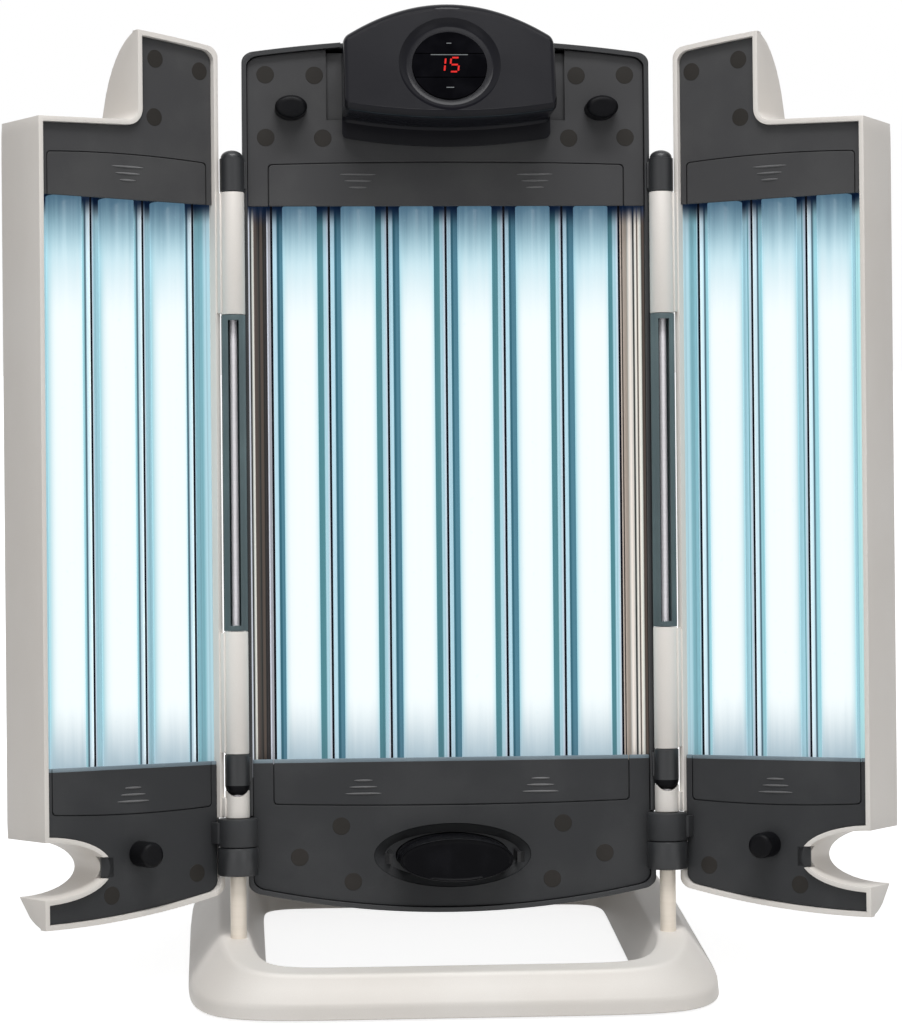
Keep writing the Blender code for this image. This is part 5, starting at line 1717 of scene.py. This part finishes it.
@dataclass(frozen=True)
class Centre:
    """The centre panel: dark tray, liners, lamps, covers, buffers, button and bowl."""

    bowl_a: float = 0.0590
    bowl_b: float = 0.0240
    bowl_deep: float = 0.0050
    bowl_slope: float = 0.0070
    button_a: float = 0.0420
    button_b: float = 0.0162
    button_front: float = 0.0340
    button_tail: float = 0.0200
    button_gap: float = 0.0007
    buffer_x: float = 0.1162
    buffer_z: float = 0.6615
    buffer_a: float = 0.0120
    buffer_b: float = 0.0085
    pod_half: float = 0.0780
    bay_deep: float = 0.0030
    bay_lap: float = 0.004
    bay_drop: float = 0.006
    bay_soft: float = 0.0006
    web: Point = (0.0103, 0.0064)
    plate_soft: float = 0.0004
    cut_deep: float = 0.03
    over: float = 0.01
    grip: float = 0.0665
    screws: tuple[Point, ...] = (
        (0.1350, 0.6875), (0.0984, 0.6870), (0.1350, 0.6405), (0.0924, 0.6400),
        (0.0833, 0.1256), (0.1145, 0.1028), (0.0747, 0.0840),
    )

    def covers(self) -> dict[End, LampCover]:
        """Return the two lamp covers."""
        half = SIZE.centre_half - SIZE.rim - SIZE.cover_side
        return {e: LampCover(f"centre_{e.word}_lamp_cover", -half, half, e, (-self.grip, self.grip)) for e in End}

    def tray(self) -> Mesh:
        """Return the dark tray with its knuckles and rings."""
        mesh = Tray(Edges.centre, 0.0, SIZE.centre_depth, 24).build()
        gap = self.pod_half + 2 * SIZE.fit
        cuts = [Mesh().block((-gap, -self.over, SIZE.notch_z),
                             (gap, SIZE.face + 2 * SIZE.fit, SIZE.top_z + self.over))]
        stacks = {side: Matrix.Translation((side.value * SIZE.hinge_x, 0.0, 0.0)) for side in Side}
        for at in stacks.values():
            room = Mesh().drum(HINGE.room, HINGE.ring_high - SIZE.wall / 2, HINGE.wing_ring_high + SIZE.wall / 2)
            cuts.append(room.moved(at))
        mesh.carve(cuts)
        joins = ((HINGE.knuckle_low + HINGE.round_end, HINGE.knuckle_high), (HINGE.cap_low, HINGE.cap_high))
        for side, at in stacks.items():
            mesh.absorb(HINGE.sleeve(SIZE.ring_r, HINGE.ring_low, HINGE.ring_high, HINGE.ring_soft), at)
            mesh.absorb(HINGE.knuckle(), at).absorb(HINGE.cap(), at)
            across = sorted(side.value * (SIZE.hinge_x - x) for x in self.web)
            for low, high in joins:
                mesh.absorb(HINGE.web(across, low + SIZE.wall, high - SIZE.wall))
        return mesh

    def liner(self, end: End) -> list[Point]:
        """Outline of a liner with the cover's cut-out, and the bay in the upper one.

        Args:
            end: Which liner.

        Returns:
            The (x, z) points.
        """
        rows, window = Edges.centre(SIZE.rim + SIZE.fit), end.window
        kept = [row for row in rows if end.value * (row[2](row[1]) - window) > 0.001]
        side = [(row[1], row[2](row[1])) for row in (kept if end is End.TOP else reversed(kept))]
        edge = kept[-1] if end is End.TOP else kept[0]
        stop = SIZE.bay_half if end is End.TOP else 0.0
        brow = [edge[1] + (stop - edge[1]) * i / 20 for i in range(1, 21)]
        right = [(SIZE.liner_half, window), *side, *((x, edge[2](x)) for x in brow)]
        if end is End.TOP:
            right.append((SIZE.bay_half, SIZE.bay_z))
        left = [(-x, z) for x, z in reversed(right)]
        return [*right, *left, *reversed(self.covers()[end].outline(SIZE.seam))]

    def bowl(self) -> Mesh:
        """Return the oval bowl round the open button."""
        a, b, face, deep = self.bowl_a, self.bowl_b, SIZE.face, SIZE.face + self.bowl_deep
        hole, slope = (self.button_a + self.button_gap, self.button_b + self.button_gap), self.bowl_slope
        rings = [(face + 0.0002, a + 0.0012, b + 0.0012), (face + 0.0002, a, b),
                 (face + 0.0012, a - 0.0006, b - 0.0006),
                 (deep - 0.0010, a - slope + 0.0006, b - slope + 0.0006),
                 (deep, a - slope - 0.0010, b - slope + 0.0002), (deep, *hole), (deep + 0.004, *hole),
                 (deep + 0.004, a + 0.0012, b + 0.0012)]
        rows = [[(x, y, z) for x, z in ellipse(p, q, 0.0, SIZE.cut_z)] for y, p, q in rings]
        return Mesh().tube(rows)

    def build(self, bench: Bench) -> None:
        """Make and dress every piece of the centre panel.

        Args:
            bench: Where the object is made.
        """
        bench, looks = replace(bench, place=STANCE.panel()), bench.looks
        # the knuckles' round lower ends take the near-black rubber finish as painted shade
        bench.piece(self.tray(), "centre_shell", "dark", looks.tray, looks.rubber)
        plates = {e: Mesh().plate(self.liner(e), SIZE.face, SIZE.liner_back).soften(self.plate_soft) for e in End}
        top, low = plates[End.TOP], plates[End.BOTTOM]
        floor, wide = SIZE.face + self.bay_deep, SIZE.bay_half + self.bay_lap
        top.absorb(Mesh().block(
            (-wide, floor, SIZE.bay_z - self.bay_lap),
            (wide, floor + SIZE.liner, SIZE.top(SIZE.bay_half) - self.bay_drop), self.bay_soft))
        low.carve([Mesh().plate(ellipse(self.bowl_a, self.bowl_b, 0.0, SIZE.cut_z), 0.0, self.cut_deep)])
        sides = (-SIZE.liner_half, SIZE.liner_half)
        for end, mesh in plates.items():
            self.covers()[end].ledge(mesh, sides)
        bench.piece(low.absorb(self.bowl()), "centre_bottom_liner", "dark", looks.low_liner, looks.lit_edge)
        bench.piece(top, "centre_top_liner", "dark", looks.liner)
        for cover in self.covers().values():
            cover.build(bench)
        lamps = tuple((i - 2.5) * SIZE.pitch for i in range(6))
        TubeSet("centre", lamps, sides).build(bench, looks.centre_sheet)
        for side in Side:
            x = side.value * self.buffer_x
            bench.buffer(f"centre_bumper_{side.word}", self.buffer_a, self.buffer_b, x, self.buffer_z)
        bench.plugs("centre_screw_plugs", [(side.value * x, z) for x, z in self.screws for side in Side])
        self.button(bench)

    def button(self, bench: Bench) -> None:
        """Make the open button with its thin lip and shallow dished face.

        Args:
            bench: Where it is made.
        """
        a, b, front = self.button_a, self.button_b, -self.button_front
        rings = [(self.button_tail, 0.0), (front + 0.0014, 0.0), (front + 0.0004, 0.0003), (front, 0.0008),
                 (front, 0.0012), (front + 0.0005, 0.0016), (front + 0.0006, 0.0040), (front + 0.0006, 0.0110)]
        rows = [[(x, y, z) for x, z in ellipse(a - d, b - d, 0.0, SIZE.cut_z)] for y, d in rings]
        bench.piece(Mesh().loft(rows), "open_button", "gloss", bench.looks.button, body="open_button", angle=50.0)


@dataclass(frozen=True)
class Pod:
    """The timer pod with its dish, display, keys and lit number."""

    half: float = 0.0780
    front: float = 0.0520
    tilt: float = math.radians(18.0)
    bottom: float = 0.6468
    bottom_bow: float = 0.0067
    height: float = 0.0892
    top_bow: float = 0.0262
    rounding: float = 0.0055
    end_round: float = 0.0035
    skirt: float = 0.0134
    skirt_set: float = 0.0040
    skirt_soft: float = 0.002
    brow_stretch: float = 1.6
    face_shares: tuple[float, ...] = (0.008, 0.125, 0.25, 0.375, 0.50, 0.625, 0.75, 0.875, 0.992)
    dish_share: float = 0.468
    dish_r: float = 0.0375
    dish_deep: float = 0.0040
    well: float = 0.0066
    cut: float = 0.02
    lens_r: float = 0.0274
    lens_gap: float = 0.0004
    lens_thick: float = 0.0056
    lens_soft: float = 0.0003
    lens_proud: float = 0.0010
    lens_seat: float = 0.0012
    split: float = 0.0097
    split_gap: float = 0.00025
    digit_height: float = 0.0114
    digit_width: float = 0.0062
    digit_step: float = 0.0102
    stroke: float = 0.0013
    digit_lean: float = 0.12
    number_at: Point = (-0.0102, -0.0052)
    bar_half: float = 0.0137
    bar: Point = (0.0014, 0.0008)
    mark_at: float = 0.0180
    mark_half: float = 0.0003
    marks: Point = (0.0018, 0.0028)
    proud: float = 0.0002

    @property
    def lens_face(self) -> float:
        """Height of the lens and keys over the housing's face, along the dish's axis."""
        return self.lens_proud - self.dish_deep

    def axis(self) -> Matrix:
        """Frame of the tilted dish; its local Z points out of the face."""
        rise = self.dish_share * self.height
        y = -self.front + rise * math.tan(self.tilt)
        turn = Matrix.Rotation(math.radians(90.0) - self.tilt, 4, "X")
        return Matrix.Translation((0.0, y, self.bottom + rise)) @ turn

    def row(self, x: float, inset: float) -> list[Spot]:
        """Section of the housing.

        Args:
            x: Its place across.
            inset: How far it is drawn in, near the housing's ends.

        Returns:
            The section's points.
        """
        low = self.bottom + self.bottom_bow * (x / self.half) ** 2 + inset
        high = self.bottom + self.height - self.top_bow * (x / self.half) ** 2 - inset
        slope, back, r = math.tan(self.tilt), SIZE.face - 2 * SIZE.fit, self.rounding
        toe = -self.front + (low - self.bottom) * slope + inset
        brow = -self.front + (high - self.bottom) * slope + inset
        skirt, soft = self.skirt_set, self.skirt_soft
        points = [(back, low - self.skirt), (skirt, low - self.skirt), (skirt, low - soft), (skirt - soft, low)]
        points += [(toe + r * (1.0 - math.sin(t)), low + r * (1.0 - math.cos(t))) for t in turns(5)]
        for share in self.face_shares:
            rise = r + (high - low - 2 * r) * share
            points.append((toe + (brow - toe) * rise / (high - low), low + rise))
        reach = self.brow_stretch * r
        points += [(brow + reach * (1.0 - math.cos(t)), high - r * (1.0 - math.sin(t))) for t in turns(5)]
        return [(x, y, z) for y, z in [*points, (back, high)]]

    def housing(self) -> Mesh:
        """Return the housing with the dish cut into it."""
        steps, end = 40, self.end_round
        bend = [(self.half - end * (1.0 - math.cos(t)), end * (1.0 - math.sin(t))) for t in turns(4)]
        inner = self.half - end
        bend.append((inner - 0.0004, 0.0))
        rows = [self.row(-x, inset) for x, inset in bend]
        rows += [self.row(-inner + 2 * inner * i / steps, 0.0) for i in range(1, steps)]
        rows += [self.row(x, inset) for x, inset in reversed(bend)]
        floor, deep, slope = -self.dish_deep - self.well, -self.dish_deep, self.dish_r - self.dish_deep
        bore, r, out = self.lens_r + self.lens_gap, self.dish_r, self.dish_r + 0.0005
        profile = [(0.0, floor), (bore, floor), (bore, deep), (slope - 0.002, deep),
                   (slope - 0.0006, deep + 0.0004), (r - 0.0008, -0.0009), (r, -0.0001), (out, 0.0003),
                   (out, self.cut), (0.0, self.cut)]
        return Mesh().loft(rows).carve([Mesh().lathe(profile, 96).moved(self.axis())])

    def disc(self, low: float, high: float, bottom: float) -> Mesh:
        """Return the part of the round window between two heights across it.

        Args:
            low: Lower height.
            high: Upper height.
            bottom: Where its back lies along the dish's axis.

        Returns:
            The mesh in the dish's frame.
        """
        start, end = (math.degrees(math.asin(max(-1.0, min(1.0, h / self.lens_r)))) for h in (low, high))
        right = arc((0.0, 0.0), self.lens_r, self.lens_r, start, end, 40)
        mesh = Mesh().plate(right + [(-x, y) for x, y in reversed(right)], 0.0, self.lens_face - bottom)
        flat = Matrix(((1, 0, 0, 0), (0, 0, 1, 0), (0, 1, 0, 0), (0, 0, 0, 1)))
        return mesh.moved(Matrix.Translation((0.0, 0.0, bottom)) @ flat).soften(self.lens_soft)

    def number(self) -> Mesh:
        """Return the lit seven-segment number 15, lying flat."""
        h, w, s = self.digit_height, self.digit_width, self.stroke
        bars = {"a": ((0.0, h), (w, h)), "b": ((w, h / 2), (w, h)), "c": ((w, 0.0), (w, h / 2)),
                "d": ((0.0, 0.0), (w, 0.0)), "f": ((0.0, h / 2), (0.0, h)), "g": ((0.0, h / 2), (w, h / 2))}
        lean = Matrix(((1, self.digit_lean, 0, 0), (0, 1, 0, 0), (0, 0, 1, 0), (0, 0, 0, 1)))
        mesh = Mesh()
        for i, lit in enumerate(("bc", "afgcd")):
            at = Matrix.Translation((i * self.digit_step, 0.0, 0.0)) @ lean
            for (x0, y0), (x1, y1) in (bars[key] for key in lit):
                dx, dy = (0.6 * s, -s / 2) if y0 == y1 else (-s / 2, 0.6 * s)
                mesh.absorb(Mesh().block((x0 + dx, y0 + dy, 0.0), (x1 - dx, y1 - dy, self.proud)), at)
        return mesh

    def build(self, bench: Bench) -> None:
        """Make and dress the pod.

        Args:
            bench: Where the object is made.
        """
        bench, looks = replace(bench, place=STANCE.panel()), bench.looks
        bench.piece(self.housing(), "pod_housing", "pod", looks.pod, angle=25.0)
        bench = replace(bench, place=bench.place @ self.axis())
        face, floor = self.lens_face, self.lens_face - self.lens_thick
        lens = self.disc(-self.split + self.split_gap, self.split - self.split_gap, floor - self.lens_seat)
        lens.absorb(self.number(), Matrix.Translation((*self.number_at, face - self.proud / 4)), 1)
        (low, high), wide, out = (self.split - drop for drop in self.bar), self.bar_half, 0.75 * self.proud
        lens.absorb(Mesh().block((-wide, low, face), (wide, high, face + out)), None, 2)
        bench.piece(lens, "display_lens", "gloss", looks.gloss, looks.led, looks.mark, angle=40.0)
        for name, sign, wide in zip(("timer_up_button", "timer_down_button"), (1.0, -1.0), self.marks):
            key = self.disc(*sorted((sign * (self.split + self.split_gap), sign * self.lens_r)), floor)
            low, high = sign * self.mark_at - self.mark_half, sign * self.mark_at + self.mark_half
            key.absorb(Mesh().block((-wide, low, face), (wide, high, face + self.proud)), None, 1)
            bench.piece(key, name, "gloss", looks.gloss, looks.mark, body=name, angle=40.0)


@dataclass(frozen=True)
class Stand:
    """The loop base, its feet and the two leaning posts."""

    half: float = 0.1985
    deep: float = 0.1945
    top: float = 0.0450
    front_top: float = 0.0310
    rise_lead: float = 0.055
    rise_run: float = 0.050
    skirt: float = 0.0120
    floor: float = 0.0020
    square: float = 7.0
    outer_set: float = 0.0245
    inner_set: float = 0.0455
    foot_set: float = 0.0590
    skirt_draft: float = 0.0008
    front_share: float = 0.78
    rear_share: float = 0.80
    crest_share: float = 0.62
    post_r: float = 0.0060
    post_low: float = 0.0255
    rod_top: float = 0.6170
    waist_r: float = 0.0028
    waist_end: float = 0.003
    waist_slope: float = 0.001
    stations: int = 208

    def crest(self, y: float) -> float:
        """Height of the top band, lower along the front bar."""
        share = min(1.0, max(0.0, (y - STANCE.post_y + self.rise_lead) / self.rise_run))
        return self.front_top + (self.top - self.front_top) * share * share * (3.0 - 2.0 * share)

    def section(self, angle: float) -> list[Vector]:
        """Section of the loop.

        Args:
            angle: Place round the loop.

        Returns:
            The section's points, floor to floor.
        """
        def point(inset: float, front_share: float, power: float) -> Vector:
            """Place on one of the loop's nested outlines."""
            c, s = math.cos(angle), math.sin(angle)
            x = (self.half - inset) * math.copysign(abs(c) ** (2.0 / power), c)
            deep = self.deep - inset * (front_share if s < 0 else self.rear_share)
            return Vector((x, deep * math.copysign(abs(s) ** (2.0 / power), s), 0.0))

        foot = point(0.0, self.front_share, self.square)
        skirt = point(self.skirt_draft, self.front_share, self.square)
        crest = point(self.outer_set, self.crest_share, self.square + 1.0)
        inner = point(self.inner_set, self.front_share, self.square + 3.0)
        toe = point(self.foot_set, self.front_share, self.square + 6.0)
        high, up = self.crest(inner.y), Vector((0.0, 0.0, 1.0))
        rise = high - self.skirt
        steps = (
            (foot, toe, 0.02, self.floor), (foot, foot, 0.0, self.floor + 0.0010),
            (skirt, skirt, 0.0, self.skirt - 0.0020), (skirt, crest, 0.015, self.skirt + 0.0004),
            (skirt, crest, 0.10, self.skirt + rise * 0.12), (skirt, crest, 0.50, self.skirt + rise * 0.53),
            (skirt, crest, 0.88, high - 0.0035), (skirt, crest, 0.97, high - 0.0010),
            (crest, inner, 0.08, high - 0.0001), (crest, inner, 0.20, high), (crest, inner, 0.80, high),
            (crest, inner, 0.93, high - 0.0002), (inner, toe, 0.03, high - 0.0012),
            (inner, toe, 0.12, high - 0.0045),
            (inner, toe, 0.55, self.floor + (high - self.floor) * 0.48), (toe, toe, 0.0, self.floor + 0.0012),
            (toe, foot, 0.02, self.floor),
        )
        return [a.lerp(b, share) + up * z for a, b, share, z in steps]

    def build(self, bench: Bench) -> None:
        """Make and dress the stand.

        Args:
            bench: Where the object is made.
        """
        looks = bench.looks
        rows = [self.section(math.tau * (i + 0.5) / self.stations) for i in range(self.stations)]
        bench.piece(Mesh().tube(rows), "base_frame", "pearl", looks.pearl, angle=45.0)
        shoulder, r, rod, soft = HINGE.ring_low - HINGE.gap, self.post_r, SIZE.rod_r, HINGE.soft
        post = [(0.0, self.post_low), (r, self.post_low), (r, shoulder - soft), (r - soft, shoulder),
                (0.0, shoulder)]
        low, high = HINGE.insert_low + self.waist_end, HINGE.insert_high - self.waist_end
        seat, slope, tip = shoulder - self.waist_slope, self.waist_slope, HINGE.cap_soft
        pin = [(0.0, seat), (rod, seat), (rod, low), (self.waist_r, low + slope), (self.waist_r, high - slope),
               (rod, high), (rod, self.rod_top - tip), (rod - tip, self.rod_top), (0.0, self.rod_top)]
        for side in Side:
            mesh = Mesh().lathe(post, 48).absorb(Mesh().lathe(pin, 32), None, 1)
            at_hinge = replace(bench, place=STANCE.hinge(side))
            at_hinge.piece(mesh, f"hinge_post_{side.word}", "steel", looks.post, looks.rod)
            for end in ("front", "rear"):
                bench.dress(f"foot_{end}_{side.word}", looks.rubber)


def dress_hidden(bench: Bench) -> None:
    """Give the pieces inside the panels their finishes.

    Args:
        bench: Where the object is made.
    """
    looks = bench.looks
    for prefix in ("centre", *(side.wing for side in Side)):
        for end in End:
            bench.dress(f"{prefix}_{end.word}_lampholders", looks.holder)
    for side in Side:
        bench.dress(f"centre_ballast_{side.word}", looks.steel)
        bench.dress(f"latch_hook_{side.word}", looks.bowl)
    bench.dress("timer_board", looks.board)
    bench.dress("mains_inlet", looks.rubber)


@dataclass(frozen=True)
class Studio:
    """White floor, soft lamps and the camera at the photograph's place."""

    camera_at: Colour = (-0.1679, -2.4886, 0.6426)
    camera_turn: Colour = (82.493, 0.0, -3.992)
    lens: float = 114.9
    sensor: float = 36.0
    shift_y: float = 0.043
    white: Colour = (1.0, 1.0, 1.0)
    world: float = 0.17
    floor_half: float = 6.0
    floor_tones: tuple[Colour, Colour] = ((0.60, 0.60, 0.60), (0.64, 0.64, 0.64))
    floor_cloud: float = 3.0
    floor_roughness: float = 0.6
    floor_lift: float = 0.80
    floor_fade: Point = (0.40, 1.0)
    aim: Colour = (0.0, -0.05, 0.35)
    lamps: tuple[tuple[str, Colour, Point, float], ...] = (
        ("key", (0.0, -1.05, 3.0), (2.0, 0.7), 60.0),
        ("front", (0.0, -2.3, 2.5), (1.0, 1.0), 14.0),
        ("left_fill", (-1.4, -2.5, 0.8), (1.2, 1.2), 4.5),
        ("right_fill", (1.4, -2.5, 0.8), (1.2, 1.2), 4.5),
    )

    def build(self) -> None:
        """Make the floor, the light and the camera."""
        scene = bpy.context.scene
        scene.view_settings.view_transform = "Standard"
        self.sky()
        self.ground()
        for name, at, size, watts in self.lamps:
            data = bpy.data.lights.new(name, "AREA")
            data.shape, data.energy = "RECTANGLE", watts
            data.size, data.size_y = size
            lamp = bpy.data.objects.new(name, data)
            lamp.location = at
            lamp.rotation_euler = (Vector(self.aim) - Vector(at)).to_track_quat("-Z", "Y").to_euler()
            scene.collection.objects.link(lamp)
        data = bpy.data.cameras.new("camera")
        data.lens, data.sensor_width, data.sensor_fit = self.lens, self.sensor, "AUTO"
        data.shift_y = self.shift_y
        camera = bpy.data.objects.new("camera", data)
        camera.location = self.camera_at
        camera.rotation_euler = [math.radians(a) for a in self.camera_turn]
        scene.collection.objects.link(camera)
        scene.camera = camera

    def sky(self) -> None:
        """White to the camera and in mirrors, plain soft light to the object."""
        shade = Shade("studio", bpy.data.worlds)
        shade.set(Color=self.white, Strength=shade.seen() * (1.0 - self.world) + self.world)
        bpy.context.scene.world = shade.data

    def ground(self) -> None:
        """Make a pale floor that keeps the object's shadow and fades to white around it."""
        mesh = Mesh()
        bmesh.ops.create_grid(mesh.bm, x_segments=2, y_segments=2, size=self.floor_half)
        data = bpy.data.meshes.new("floor")
        mesh.bm.to_mesh(data)
        mesh.bm.free()
        shade = Shade("floor_white")
        far = shade.wire("ShaderNodeVectorMath", {"operation": "LENGTH"}, {0: shade.place()}, "Value")
        lift = self.floor_lift + (1.0 - self.floor_lift) * far.ramp(*self.floor_fade)
        glow = (shade.seen() * lift).mix((0.0, 0.0, 0.0), self.white)
        tone = shade.noise(self.floor_cloud, 2.0).mix(*self.floor_tones)
        shade.set(Base_Color=tone, Roughness=self.floor_roughness, Emission_Color=glow, Emission_Strength=1.0)
        data.materials.append(shade.data)
        floor = bpy.data.objects.new("floor", data)
        bpy.context.scene.collection.objects.link(floor)


def main() -> None:
    """Build the whole scene."""
    logging.basicConfig(level=logging.INFO, format="%(message)s")
    for old in list(bpy.data.objects):
        bpy.data.objects.remove(old)
    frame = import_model()
    bench = Bench(frame, Finishes(), Matrix.Identity(4))
    Studio().build()
    for assembly in (Stand(), Centre(), Pod(), *(Wing(side) for side in Side)):
        assembly.build(bench)
    dress_hidden(bench)


if __name__ == "__main__":
    main()
